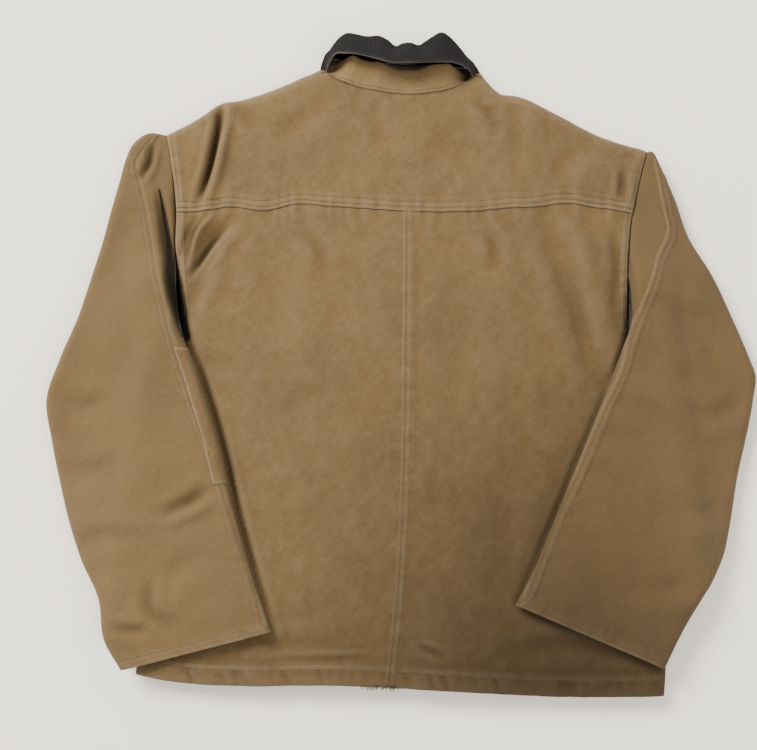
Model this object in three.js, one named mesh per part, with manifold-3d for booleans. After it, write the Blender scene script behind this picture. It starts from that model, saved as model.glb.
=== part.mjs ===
import * as THREE from 'three';
import ManifoldModule from 'manifold-3d';

// Canvas work jacket laid back up, millimetres. X runs across the back, Y towards the collar, Z up.
// Driving dimensions
const jacketWidth = 854;        // across both sleeves
const jacketLength = 811;       // hem to the roll of the collar
const shellThick = 2.0;         // canvas
const liningThick = 2.0;
const gap = 0.3;                // between pieces that touch
const armholeGap = 0.9;
const liningGap = 0.6;          // between a lining and its shell
const frontZ = 1.8;             // outer face of the fronts
const bodyTop = 25.5;           // outer face of the back beside the sides
const crownRise = 6;            // extra height along the middle of the back
const foldZ = 11;               // where back and front meet along the sides
const sideRadius = 16;
const cuffHeight = 15;          // sleeve thickness at the cuff
const sleeveRadius = 12;
const lapGap = 2.6;             // sleeve above the back it lies on
const pocketThick = 1.5;
const tapeThick = 1.0;
const placketRise = 4;          // the front edges stand off the surface by this, beside the fastener
const zipX = -22;               // centre line of the fastener
const standEdge = 5;            // height of the line the collar leaf turns on

const kx = jacketWidth / 854, ky = jacketLength / 811;
const zip = zipX * kx;
const lerp = THREE.MathUtils.lerp;
const step = (from, to, q) => {
  const t = THREE.MathUtils.clamp((q - from) / (to - from), 0, 1);
  return t * t * (3 - 2 * t);
};
const colours = {
  canvas: 0x8f7654, facing: 0x836b4a, lining: 0x3d3a38, corduroy: 0x3a393a,
  tape: 0x6b5940, brass: 0xb08d4a, steel: 0x8d8d88,
};

const group = new THREE.Group();
group.name = 'duck_canvas_jacket';

function add(name, geometry, colour) {
  const metal = colour === colours.brass || colour === colours.steel;
  const material = new THREE.MeshStandardMaterial({
    color: colour, roughness: metal ? 0.35 : 0.9, metalness: metal ? 1 : 0,
  });
  material.name = name + '_material';
  const mesh = new THREE.Mesh(geometry, material);
  mesh.name = name;
  group.add(mesh);
}

// A smooth value through (position, value) pairs
function through(points, ka, kb) {
  const spline = new THREE.CubicInterpolant(
    points.map(p => p[0] * ka), points.map(p => p[1] * kb), 1);
  return q => spline.evaluate(q)[0];
}

// A slab of cloth: columns run towards +X, rows towards +Y, depth 0 is the lower face, 1 the upper
function cloth(name, columns, rows, place, colour) {
  const geometry = new THREE.BoxGeometry(1, 1, 1, columns, rows, 1);
  const at = geometry.attributes.position;
  for (let i = 0; i < at.count; i++) {
    const k = Math.round((at.getX(i) + 0.5) * columns);
    const j = Math.round((at.getY(i) + 0.5) * rows);
    const p = place(k, j, at.getZ(i) + 0.5);
    at.setXYZ(i, p[0], p[1], p[2]);
  }
  // both faces are split along the same diagonals, so stacked layers stay parallel
  const index = geometry.index, lower = geometry.groups[5];
  for (let i = lower.start; i < lower.start + lower.count; i += 6) {
    const a = index.getX(i), b = index.getX(i + 1), c = index.getX(i + 4), d = index.getX(i + 2);
    [a, b, c, a, c, d].forEach((v, n) => index.setX(i + n, v));
  }
  geometry.computeVertexNormals();
  add(name, geometry, colour);
}

function block(name, x0, x1, y0, y1, z0, z1, colour) {
  const geometry = new THREE.BoxGeometry(x1 - x0, y1 - y0, z1 - z0);
  geometry.translate((x0 + x1) / 2, (y0 + y1) / 2, (z0 + z1) / 2);
  add(name, geometry, colour);
}

// Outlines of the body
const leftSide = through([[-392, -312], [-200, -286], [24, -264], [91, -270], [135, -274],
  [179, -278], [236, -284], [271, -290]], ky, kx);
const rightSide = through([[-402, 304], [-342, 309], [-170, 294], [30, 275], [73, 274],
  [122, 277], [169, 283], [210, 293], [256, 306]], ky, kx);
const centreBack = through([[-392, -22], [-294, -11], [-179, -4], [0, 0], [169, 2], [320, 2]], ky, kx);
const hem = through([[-312, -379], [-258, -388], [-176, -392], [-83, -390], [-8, -393], [79, -398],
  [184, -404], [304, -402]], kx, ky);
const yokeSeam = through([[-275, 171], [-208, 177], [-171, 173], [-123, 180], [-62, 176], [4, 172],
  [85, 171], [158, 176], [201, 180], [243, 176], [282, 169]], kx, ky);
const shoulder = through([[-289, 271], [-224, 309], [-180, 322], [-137, 340], [-100, 352], [-62, 332],
  [-13, 321], [37, 321], [66, 327], [100, 347], [142, 322], [198, 297], [246, 271], [305, 252]], kx, ky);

const halfColumns = 9, yokeRow = 9, topRow = 14;
const sideTurn = k => (k < 3 ? k * Math.PI / 6 : Math.PI / 2);
const topTurn = j => (j > topRow - 2 ? (topRow - j) * Math.PI / 4 : Math.PI / 2);
const sideShare = k => {
  const edge = sideRadius / (285 * kx);
  return k < 3 ? edge * (1 - Math.cos(sideTurn(k))) : edge + (1 - edge) * (k - 3) / (halfColumns - 3);
};
const topShare = j => {
  const edge = sideRadius / (115 * ky), i = j - yokeRow;
  return i < 4 ? (1 - edge) * i / 3 : 1 - edge * (1 - Math.cos(topTurn(j)));
};
const sidesClosed = y => step(62 * ky, 22 * ky, y);
const isShoulder = x => step(98 * kx, 112 * kx, Math.abs(x));
const rowY = j => (j <= yokeRow ? lerp(-392 * ky, 175 * ky, j / yokeRow)
  : lerp(175 * ky, 262 * ky, topShare(j)));

function crown(x, y) {
  const l = leftSide(y), r = rightSide(y);
  const s = THREE.MathUtils.clamp((x - l) / (r - l), 0, 1);
  return crownRise * Math.sin(Math.PI * s);
}

// Where a column and row land in plan; across gives x for a height y
function inPlan(j, across, low, top) {
  let y = rowY(j), x = 0;
  for (let turn = 0; turn < 5; turn++) {
    x = across(y);
    y = j <= yokeRow ? lerp(low(x), yokeSeam(x), j / yokeRow) : lerp(yokeSeam(x), top(x), topShare(j));
  }
  return [x, y];
}

// A point of the back, depth measured inwards from the outer face
function backPoint(k, j, depth) {
  const fromSide = Math.min(k, 2 * halfColumns - k), side = k <= halfColumns ? leftSide : rightSide;
  const [x, y] = inPlan(j, q => lerp(side(q), centreBack(q), sideShare(fromSide)), hem, shoulder);
  const closed = sidesClosed(y), over = isShoulder(x);
  const out = Math.cos(sideTurn(fromSide)) * closed, up = Math.cos(topTurn(j)) * over;
  const rise = lerp(1, Math.sin(sideTurn(fromSide)), closed) * lerp(1, Math.sin(topTurn(j)), over);
  const z = lerp(foldZ + gap / 2, bodyTop + crown(x, y) * lerp(1, 0.45, j / topRow), rise);
  return [x + (k <= halfColumns ? 1 : -1) * out * depth, y - up * depth, z - rise * depth];
}

function backPiece(name, k0, k1, j0, j1, outer, inner, trim, colour) {
  cloth(name, k1 - k0, j1 - j0, (k, j, w) => {
    const p = backPoint(k0 + k, Math.max(j0 + j, trim.hemRow || 0), lerp(inner, outer, w));
    if (k === 0) p[0] += trim.left || 0;
    if (k === k1 - k0) p[0] -= trim.right || 0;
    if (j === 0) p[1] += trim.bottom || 0;
    if (j === j1 - j0) p[1] -= trim.top || 0;
    return p;
  }, colour);
}

const half = gap / 2;
const liningFrom = shellThick + liningGap, liningTo = liningFrom + liningThick;
backPiece('back_yoke', 0, 18, 9, 14, 0, shellThick, { bottom: half }, colours.canvas);
backPiece('back_panel_left', 0, 9, 0, 9, 0, shellThick, { right: half, top: half }, colours.canvas);
backPiece('back_panel_right', 9, 18, 0, 9, 0, shellThick, { left: half, top: half }, colours.canvas);
backPiece('body_lining_back', 0, 18, 0, 14, liningFrom, liningTo, { hemRow: 0.2 }, colours.lining);

// Fronts: ten columns from the side to the edge beside the fastener
const frontColumns = 10, edgeInset = 8, placketStart = 58, placketStep = 25;
const neckDepth = 105;
function frontTop(x) {
  const q = Math.abs(x - zip) / (Math.abs((x < zip ? -100 : 100) * kx - zip));
  if (q >= 1) return shoulder(x);
  return (350 - neckDepth * Math.sqrt(1 - q * q)) * ky;
}
function frontPoint(sign, k, j, depth) {
  const side = sign < 0 ? leftSide : rightSide, low = x => hem(x) + 1.5 - 4 * step(70, 20, Math.abs(x - zip));
  const across = q => {
    if (k > 8) return zip + sign * (k > 9 ? edgeInset : placketStep);
    const width = Math.abs(side(q) - zip) - placketStart, edge = sideRadius / width;
    const share = k < 3 ? edge * (1 - Math.cos(sideTurn(k))) : edge + (1 - edge) * (k - 3) / 5;
    return lerp(side(q), zip + sign * placketStart, share);
  };
  const [x, y] = inPlan(j, across, low, frontTop), rise = k > 8 ? placketRise : 0;
  const closed = sidesClosed(y), over = isShoulder(x);
  const out = Math.cos(sideTurn(k)) * closed, up = Math.cos(topTurn(j)) * over;
  const turn = lerp(1, Math.sin(sideTurn(k)), closed) * lerp(1, Math.sin(topTurn(j)), over);
  const z = lerp(foldZ - gap / 2, frontZ + rise, turn);
  return [x - sign * out * depth, y - up * depth, z + turn * depth];
}
function frontPiece(name, sign, k0, k1, outer, inner, trim, colour) {
  const n = k1 - k0;
  cloth(name, n, topRow, (k, j, w) => {
    const c = sign < 0 ? k0 + k : k1 - k;
    const p = frontPoint(sign, c, Math.max(j, trim.hemRow || 0), lerp(outer(c), inner(c), w));
    if (c === k0) p[0] -= sign * (trim.side || 0);
    if (c === k1) p[0] += sign * (trim.centre || 0);
    return p;
  }, colour);
}
for (const [side, sign] of [['left', -1], ['right', 1]]) {
  const under = c => liningFrom + (c > 8 ? tapeThick + gap : 0);
  frontPiece('front_panel_' + side, sign, 0, 10, () => 0, () => shellThick, {}, colours.canvas);
  frontPiece('body_lining_' + side, sign, 0, 8, () => liningFrom, () => liningTo,
    { centre: half, hemRow: 0.2 }, colours.lining);
  frontPiece('front_facing_' + side, sign, 8, 10, under, c => under(c) + liningThick,
    { side: half, centre: 2, hemRow: 0.05 }, colours.facing);
}

// Patch pockets sewn to the outside of the fronts
function pocket(name, x0, x1, y0, y1, slant) {
  const shape = new THREE.Shape();
  shape.moveTo(x0 + 14, y0);
  shape.lineTo(x1 - 14, y0);
  shape.quadraticCurveTo(x1, y0, x1, y0 + 14);
  shape.lineTo(x1, y1 - Math.max(slant, 0));
  shape.lineTo(x0, y1 + Math.min(slant, 0));
  shape.lineTo(x0, y0 + 14);
  shape.quadraticCurveTo(x0, y0, x0 + 14, y0);
  add(name, new THREE.ExtrudeGeometry(shape, { depth: pocketThick, bevelEnabled: false, curveSegments: 4 }),
    colours.canvas);
}
pocket('hand_pocket_left', -262 * kx, -98 * kx, -352 * ky, -150 * ky, -46);
pocket('hand_pocket_right', 52 * kx, 216 * kx, -356 * ky, -154 * ky, 46);
pocket('chest_pocket', -216 * kx, -92 * kx, 12 * ky, 158 * ky, 0);

// Collar: a stand rising from the neck seam, a leaf turning on its outer edge, two front wings
const turnFrom = new THREE.Vector3(-88 * kx, 376 * ky, standEdge);
const turnTo = new THREE.Vector3(86 * kx, 364 * ky, standEdge);
const rollOut = through([[-100, 370], [-88, 385], [-72, 402], [-44, 401], [-25, 401], [-6, 389], [13, 391],
  [30, 393], [52, 405], [63, 398], [75, 385], [86, 373]], kx, ky);
const leafEdge = through([[-92, 356], [-84, 364], [-68, 365], [-50, 361], [-13, 350], [24, 350], [66, 351],
  [78, 349], [92, 342]], kx, ky);
const collarColumns = 12, leafThick = 3, standThick = 2.4;
const neckPoints = [5, 6, 7, 8, 9, 10, 11, 12, 13].map(k => backPoint(k, topRow, 0));
const neckLine = new THREE.LinearInterpolant(neckPoints.map(p => p[0]), neckPoints.map(p => p[1]), 1);
const turnLine = k => turnFrom.clone().lerp(turnTo, k / collarColumns);
cloth('collar_stand', collarColumns, 4, (k, j, w) => {
  const top = turnLine(k), x = top.x * 0.975;
  const neck = neckLine.evaluate(x)[0] + gap;
  const neckZ = bodyTop + crown(x, 262 * ky) * 0.45;
  const y = lerp(neck, top.y - 0.8, j / 4);
  return [x, y, lerp(neckZ, top.z + standThick / 2, step(-0.3, 1.1, j / 4)) - (1 - w) * standThick];
}, colours.canvas);
cloth('collar_leaf', collarColumns, 7, (k, j, w) => {
  const base = turnLine(k), out = rollOut(base.x), ends = Math.abs(2 * k / collarColumns - 1) ** 4;
  const edgeY = leafEdge(base.x), edgeZ = lerp(57, 36, ends), roll = 6 + 2 * ends;
  const section = new THREE.CatmullRomCurve3([
    new THREE.Vector3(base.x, base.y, standEdge), new THREE.Vector3(base.x, lerp(base.y, out, 0.75), 3.6),
    new THREE.Vector3(base.x, out - 1.5, 3.6 + roll), new THREE.Vector3(base.x, lerp(out, edgeY, 0.3), 24),
    new THREE.Vector3(base.x, edgeY, edgeZ)], false, 'centripetal');
  const p = section.getPoint(j / 7), t = section.getTangent(j / 7);
  const away = (w - 0.5) * leafThick;
  return [p.x, p.y + 0.1 - t.z * away, p.z + t.y * away];
}, colours.corduroy);
for (const [side, sign] of [['left', -1], ['right', 1]]) {
  const neckX = sign * 98 * kx, n = 6, rows = 3;
  cloth('collar_wing_' + side, n, rows, (k, j, w) => {
    const q = sign < 0 ? 1 - k / n : k / n;            // 0 at the centre front, 1 at the shoulder
    const inX = lerp(zip + sign * 6, neckX, q ** 0.8);
    const inner = [inX, frontTop(inX) - 2];
    const outer = [lerp(zip + sign * 58, sign * 150 * kx, q), lerp(176, 316, q) * ky];
    return [lerp(outer[0], inner[0], j / rows), lerp(outer[1], inner[1], j / rows), w * pocketThick];
  }, colours.corduroy);
}

// Loop sewn inside the back neck
const loopThick = 1.2;
cloth('hanger_loop', 10, 1, (k, j, w) => {
  const q = k / 5 - 1, sag = 5 * (1 - q ** 4);
  return [26 * q, 300 * ky + 8 * j - sag, bodyTop - 2.2 - loopThick * (1 - w) - sag];
}, colours.canvas);

// Sleeves: boundaries run from the cuff to the shoulder
const sleeveLines = {
  left: {
    outer: [[-323, -373], [-344, -338], [-352, -296], [-377, -249], [-395, -202], [-408, -155], [-419, -107],
      [-427, -59], [-413, -11], [-393, 39], [-378, 90], [-367, 130], [-358, 170], [-347, 215], [-339, 246],
      [-330, 262], [-313, 268]],
    inner: [[-151, -329], [-180, -248], [-204, -163], [-217, -111], [-236, -52], [-255, 1], [-264, 24]],
    seam: leftSide, seamFrom: 40, seamTo: 265,
  },
  right: {
    outer: [[300, -371], [327, -322], [344, -296], [362, -272], [375, -249], [389, -202], [399, -155],
      [412, -107], [423, -59], [427, -29], [421, -11], [402, 39], [381, 88], [353, 139], [338, 190],
      [332, 213], [327, 237]],
    inner: [[130, -299], [146, -271], [182, -191], [207, -134], [232, -75], [263, 1], [272, 24]],
    seam: rightSide, seamFrom: 40, seamTo: 238,
  },
};
const sleeveRows = 13, sleeveColumns = 12, sleeveTopZ = bodyTop, patchThick = 1;
const capTurn = j => (j > sleeveRows - 2 ? (sleeveRows - j) * Math.PI / 4 : Math.PI / 2);
const bandTurn = i => (i < 3 ? i * Math.PI / 6 : Math.PI / 2);
const lapOver = y => step(125 * ky, 62 * ky, y);

for (const [side, sign] of [['left', -1], ['right', 1]]) {
  const line = sleeveLines[side];
  const seamY = [line.seamFrom, 90, 140, 190, 230, line.seamTo];
  const toCurve = points => new THREE.CatmullRomCurve3(points.map(p => new THREE.Vector3(p[0], p[1], 0)),
    false, 'centripetal');
  const outer = toCurve(line.outer.map(p => [p[0] * kx, p[1] * ky]));
  const inner = toCurve([...line.inner.map(p => [p[0] * kx, p[1] * ky]),
    ...seamY.map(y => [line.seam(y * ky) + sign * armholeGap, y * ky])]);
  const edgeRows = [];
  for (let j = 5; j <= topRow; j++) edgeRows.push(backPoint(sign < 0 ? 0 : 2 * halfColumns, j, 0));
  const edgeLine = new THREE.LinearInterpolant(edgeRows.map(p => p[1]), edgeRows.map(p => p[0]), 1);
  const rowShare = j => (j <= sleeveRows - 2 ? 0.982 * j / (sleeveRows - 2)
    : 1 - 0.018 * (1 - Math.cos(capTurn(j))));

  const sleevePoint = (face, i, j, depth) => {
    const v = rowShare(j), o = outer.getPointAt(v), n = inner.getPointAt(v);
    if (n.y > line.seamFrom * ky) n.x = edgeLine.evaluate(n.y)[0] + sign * armholeGap;
    const width = o.distanceTo(n), radius = Math.min(sleeveRadius, 0.3 * width, 0.8 * cuffHeight);
    const fromEnd = Math.min(i, sleeveColumns - i);
    const near = fromEnd < 3 ? radius / width * (1 - Math.cos(bandTurn(fromEnd)))
      : lerp(radius / width, 0.5, (fromEnd - 3) / (sleeveColumns / 2 - 3));
    const u = i <= sleeveColumns / 2 ? near : 1 - near;       // 0 outer edge, 1 inner edge
    const p = o.clone().lerp(n, u), innerEnd = i > sleeveColumns / 2;
    const closed = innerEnd ? lapOver(n.y) : 1;
    const out = Math.cos(bandTurn(fromEnd)) * closed * (innerEnd ? -sign : sign);
    const up = Math.cos(capTurn(j));
    const turn = lerp(1, Math.sin(bandTurn(fromEnd)), closed) * Math.sin(capTurn(j));
    const outside = sign * (p.x - line.seam(p.y));
    const lap = lapOver(p.y) * step(66, 26, outside);
    const base = lerp(frontZ, bodyTop + crown(p.x, p.y) + lapGap, lap);
    const height = lerp(cuffHeight, sleeveTopZ - frontZ, step(-380 * ky, 60 * ky, p.y));
    const middle = base + 0.45 * height;
    const z = face > 0 ? lerp(middle + half, base + height, turn) : lerp(middle - half, base, turn);
    return [p.x - out * depth, p.y - up * depth, z - face * turn * depth];
  };
  const sleevePiece = (name, face, from, to, i0, i1, j0, j1, colour) => {
    const outerFirst = sign < 0;
    cloth(name, i1 - i0, j1 - j0, (k, j, w) => {
      const i = outerFirst ? i0 + k : i1 - k;
      return sleevePoint(face, i, j0 + j, face > 0 ? lerp(to, from, w) : lerp(from, to, w));
    }, colour);
  };
  const all = [0, sleeveColumns, 0, sleeveRows];
  sleevePiece('sleeve_top_' + side, 1, 0, shellThick, ...all, colours.canvas);
  sleevePiece('sleeve_under_' + side, -1, 0, shellThick, ...all, colours.canvas);
  sleevePiece('sleeve_lining_upper_' + side, 1, liningFrom, liningTo, 0, sleeveColumns, 0, sleeveRows,
    colours.lining);
  sleevePiece('sleeve_lining_lower_' + side, -1, liningFrom, liningTo, 0, sleeveColumns, 0, sleeveRows,
    colours.lining);
  sleevePiece('elbow_patch_' + side, sign < 0 ? 1 : -1, -gap - patchThick, -gap, 7, 11, 3, 6, colours.canvas);
}

// Fastener along the centre front
const zipLow = (-393 + 12) * ky, zipHigh = 238 * ky;
const tapeZ = frontZ + placketRise + shellThick + gap + tapeThick / 2, railHalf = 1.5;
for (const [side, sign] of [['left', -1], ['right', 1]]) {
  const span = (a, b) => [zip + Math.min(sign * a, sign * b), zip + Math.max(sign * a, sign * b)];
  block('zipper_tape_' + side, ...span(2.9, 22), zipLow - 8, zipHigh + 4, tapeZ - tapeThick / 2, tapeZ + tapeThick / 2, colours.tape);
  block('zipper_teeth_' + side, ...span(0.8, 2.6), zipLow, zipHigh - 4, tapeZ - railHalf, tapeZ + railHalf,
    colours.brass);
  block('zipper_top_stop_' + side, ...span(0.8, 2.6), zipHigh - 3.7, zipHigh, tapeZ - railHalf,
    tapeZ + railHalf, colours.brass);
}
block('zipper_box', zip - 2.6, zip + 0.3, zipLow - 10.3, zipLow - gap, tapeZ - 2, tapeZ + 2, colours.brass);
block('zipper_pin', zip + 0.6, zip + 2.6, zipLow - 10.3, zipLow - gap, tapeZ - 1.2, tapeZ + 1.2, colours.brass);

const wasm = await ManifoldModule();
wasm.setup();
function solid(geometry) {
  const merged = new Map(), points = [], corners = [];
  const at = geometry.attributes.position, n = geometry.index ? geometry.index.count : at.count;
  for (let i = 0; i < n; i++) {
    const v = geometry.index ? geometry.index.getX(i) : i;
    const xyz = [at.getX(v), at.getY(v), at.getZ(v)], key = xyz.map(c => c.toFixed(4)).join();
    if (!merged.has(key)) { merged.set(key, points.length / 3); points.push(...xyz); }
    corners.push(merged.get(key));
  }
  return new wasm.Manifold(new wasm.Mesh({
    numProp: 3, vertProperties: Float32Array.from(points), triVerts: Uint32Array.from(corners),
  }));
}
function joined(a, b) {
  const mesh = solid(a).add(solid(b)).getMesh();
  const geometry = new THREE.BufferGeometry();
  geometry.setAttribute('position', new THREE.BufferAttribute(mesh.vertProperties, 3));
  geometry.setIndex(new THREE.BufferAttribute(mesh.triVerts, 1));
  geometry.computeVertexNormals();
  return geometry;
}
const sliderY = zipHigh - 14, plateHalf = 5.5, plateLength = 13;
const plates = new THREE.Shape();
[[-plateHalf, -3.2], [plateHalf, -3.2], [plateHalf, -1.8], [0.5, -1.8], [0.5, 1.8], [plateHalf, 1.8],
  [plateHalf, 3.2], [-plateHalf, 3.2], [-plateHalf, 1.8], [-0.5, 1.8], [-0.5, -1.8], [-plateHalf, -1.8]]
  .forEach(([x, z], i) => (i ? plates.lineTo(x, z) : plates.moveTo(x, z)));
const body = new THREE.ExtrudeGeometry(plates, { depth: plateLength, bevelEnabled: false });
body.rotateX(Math.PI / 2);                       // outline height becomes Z, length runs to -Y
body.translate(zip, sliderY + plateLength / 2, tapeZ);
const arch = new THREE.Shape();
[[-3.6, 0.2], [-3.6, -3.3], [3.6, -3.3], [3.6, 0.2], [2.4, 0.2], [2.4, -2.1], [-2.4, -2.1], [-2.4, 0.2]]
  .forEach(([y, z], i) => (i ? arch.lineTo(y, z) : arch.moveTo(y, z)));
const lug = new THREE.ExtrudeGeometry(arch, { depth: 3, bevelEnabled: false });
lug.rotateX(Math.PI / 2);
lug.rotateZ(Math.PI / 2);                        // outline across becomes Y, thickness runs along X
lug.translate(zip - 1.5, sliderY, tapeZ - 3.2);
add('zipper_slider', joined(body, lug), colours.brass);

const tab = new THREE.Shape();
tab.moveTo(-3.6, 0.6);
tab.lineTo(-3.6, -7);
tab.lineTo(-4.6, -12);
tab.lineTo(-4.6, -31);
tab.absarc(0, -31, 4.6, Math.PI, 2 * Math.PI, false);
tab.lineTo(4.6, -12);
tab.lineTo(3.6, -7);
tab.lineTo(3.6, 0.6);
tab.closePath();
const eye = new THREE.Path();
[[-2, -0.6], [2, -0.6], [2, -5.4], [-2, -5.4]].forEach(([x, y], i) => (i ? eye.lineTo(x, y) : eye.moveTo(x, y)));
eye.closePath();
tab.holes.push(eye);
const pull = new THREE.ExtrudeGeometry(tab, { depth: 1.1, bevelEnabled: false, curveSegments: 6 });
pull.translate(zip, sliderY, tapeZ - 3.2 - 1.05 - 0.55);
add('zipper_puller', pull, colours.brass);

// Flap behind the fastener
const flapX = [-40, -24, -8, 8, 24], flapZ = [-2.1, 0.2, 0.8, 0.8, 0.8];
const flapBase = tapeZ + tapeThick / 2 + gap + liningThick + gap;
cloth('wind_flap', flapX.length - 1, 10, (k, j, w) => [zip + flapX[k],
  lerp(-388, 236, j / 10) * ky, flapBase + flapZ[k] + w * 1.5], colours.facing);

// Origin: middle of the outline, on the surface the jacket lies on
const outline = new THREE.Box3().setFromObject(group);
group.position.set(-(outline.min.x + outline.max.x) / 2, -(outline.min.y + outline.max.y) / 2, -outline.min.z);
group.updateMatrixWorld(true);

export default group;
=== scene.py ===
import math
import bpy
import numpy as np
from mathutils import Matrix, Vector
from mathutils.bvhtree import BVHTree


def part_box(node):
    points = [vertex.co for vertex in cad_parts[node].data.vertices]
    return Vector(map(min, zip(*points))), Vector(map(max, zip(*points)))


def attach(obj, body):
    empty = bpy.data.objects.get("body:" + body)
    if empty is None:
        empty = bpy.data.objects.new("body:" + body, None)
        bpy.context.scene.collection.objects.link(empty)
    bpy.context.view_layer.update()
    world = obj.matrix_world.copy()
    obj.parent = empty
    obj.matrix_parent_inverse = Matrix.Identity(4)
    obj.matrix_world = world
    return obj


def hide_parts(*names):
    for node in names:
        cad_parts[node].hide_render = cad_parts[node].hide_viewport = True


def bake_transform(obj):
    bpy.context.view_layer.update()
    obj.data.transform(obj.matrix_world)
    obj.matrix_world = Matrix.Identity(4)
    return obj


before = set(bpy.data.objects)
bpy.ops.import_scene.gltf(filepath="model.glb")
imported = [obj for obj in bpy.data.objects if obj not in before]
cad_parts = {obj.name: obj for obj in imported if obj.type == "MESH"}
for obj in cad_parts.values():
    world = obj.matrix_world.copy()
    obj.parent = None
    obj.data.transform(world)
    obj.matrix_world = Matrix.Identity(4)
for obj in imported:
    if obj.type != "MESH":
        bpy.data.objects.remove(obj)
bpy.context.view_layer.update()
scene = bpy.context.scene

# The cutting pattern is in millimetres, with its own zero. The slider says where that zero is.
zipX, sliderY = -22.0, 224.0
sliderLow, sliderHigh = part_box("zipper_slider")
shift = np.array([(sliderLow.x + sliderHigh.x) * 500 - zipX, (sliderLow.y + sliderHigh.y) * 500 - sliderY, 0.0])


# A smooth curve through points, as a function from x to y
def smoothThrough(points):
    p = np.array(points, float)
    x, y = p[:, 0], p[:, 1]
    slope = np.gradient(y, x)

    def at(q):
        q = np.clip(np.asarray(q, float), x[0], x[-1])
        i = np.clip(np.searchsorted(x, q) - 1, 0, len(x) - 2)
        h = x[i + 1] - x[i]
        t = (q - x[i]) / h
        return ((1 + 2 * t) * (1 - t) ** 2 * y[i] + t * (1 - t) ** 2 * h * slope[i]
                + t * t * (3 - 2 * t) * y[i + 1] + t * t * (t - 1) * h * slope[i + 1])
    return at


# Evenly spaced points on a smooth path
def alongPath(points, count):
    p = np.array(points, float)
    chord = lengthAlong(p)
    fine = np.linspace(0, chord[-1], 1200)
    dense = np.stack([smoothThrough(np.c_[chord, p[:, c]])(fine) for c in range(p.shape[1])], 1)
    run = lengthAlong(dense)
    want = np.linspace(0, run[-1], count)
    return np.stack([np.interp(want, run, dense[:, c]) for c in range(p.shape[1])], 1)


# A smooth step from 0 to 1 between low and high; it falls when high is the smaller
def step(low, high, q):
    t = np.clip((q - low) / (high - low), 0, 1)
    return t * t * (3 - 2 * t)


def blendTo(a, b, t):
    return a + (b - a) * t


# A rounded edge: 0 at the edge, 1 from reach inwards
def rounded(gap, reach):
    return np.sqrt(np.clip(1 - (1 - np.clip(gap / reach, 0, 1)) ** 2, 0, 1))


# A soft ridge, 1 on the line at and fading within width
def ridge(gap, at, width):
    return np.exp(-((gap - at) / width) ** 2)


# Distance along a row of points, from its start
def lengthAlong(points):
    return np.r_[0, np.cumsum(np.linalg.norm(np.diff(points, axis=0), axis=1))]


# A line of numbers repeated as the rows or the columns of a grid
def asRows(values, count):
    return np.repeat(values[None], count, 0)


def asColumns(values, count):
    return np.repeat(values[:, None], count, 1)


# Smooth random waves about cell millimetres wide, from -1 to 1
def softNoise(x, y, cell, seed):
    grid = np.random.default_rng(seed).uniform(-1, 1, (128, 128))
    u, v = x / cell + 40.3, y / cell + 40.7
    i, j = np.floor(u).astype(int), np.floor(v).astype(int)
    a, b = u - i, v - j
    a, b = a * a * (3 - 2 * a), b * b * (3 - 2 * b)
    g = lambda di, dj: grid[(i + di) % 128, (j + dj) % 128]
    return (g(0, 0) * (1 - a) + g(1, 0) * a) * (1 - b) + (g(0, 1) * (1 - a) + g(1, 1) * a) * b


def rumple(x, y, cell, seed, octaves=3):
    return sum(softNoise(x, y, cell / 2 ** n, seed + n) / 2 ** n for n in range(octaves))


# Distance to a line on the cloth, positive to the left of its direction, and how far along it is
def nearLine(points, x, y, count=14):
    line = alongPath(points, count)
    best, share, side = np.full(x.shape, 1e9), np.zeros(x.shape), np.ones(x.shape)
    for n in range(count - 1):
        a, d = line[n], line[n + 1] - line[n]
        t = np.clip(((x - a[0]) * d[0] + (y - a[1]) * d[1]) / (d @ d), 0, 1)
        px, py = x - a[0] - t * d[0], y - a[1] - t * d[1]
        gap = np.hypot(px, py)
        near = gap < best
        best = np.where(near, gap, best)
        share = np.where(near, (n + t) / (count - 1), share)
        side = np.where(near, np.where(d[0] * py - d[1] * px < 0, -1.0, 1.0), side)
    return best * side, share


# Creases: each is a line on the cloth with a width, a height (negative is a valley) and a lip beside it
def creaseHeight(x, y, creases):
    z = np.zeros_like(x)
    for points, width, height, lip in creases:
        gap, share = nearLine(points, x, y)
        q = gap / width
        fade = np.sin(np.pi * np.clip(share, 0.02, 0.98)) ** 0.7
        z += fade * height * (np.exp(-q * q) - lip * np.exp(-(np.abs(q) - 1.7) ** 2) * (1 + 0.5 * np.sign(q)))
    return z


# Painted shade in the narrow folds: 1 is unshaded cloth
def foldShade(x, y, creases, gain):
    deep = -gain * creaseHeight(x, y, [c for c in creases if c[1] <= 10])
    return 1 - 0.52 * np.clip((deep - 0.8) / 5.5, 0, 1) ** 1.1


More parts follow.
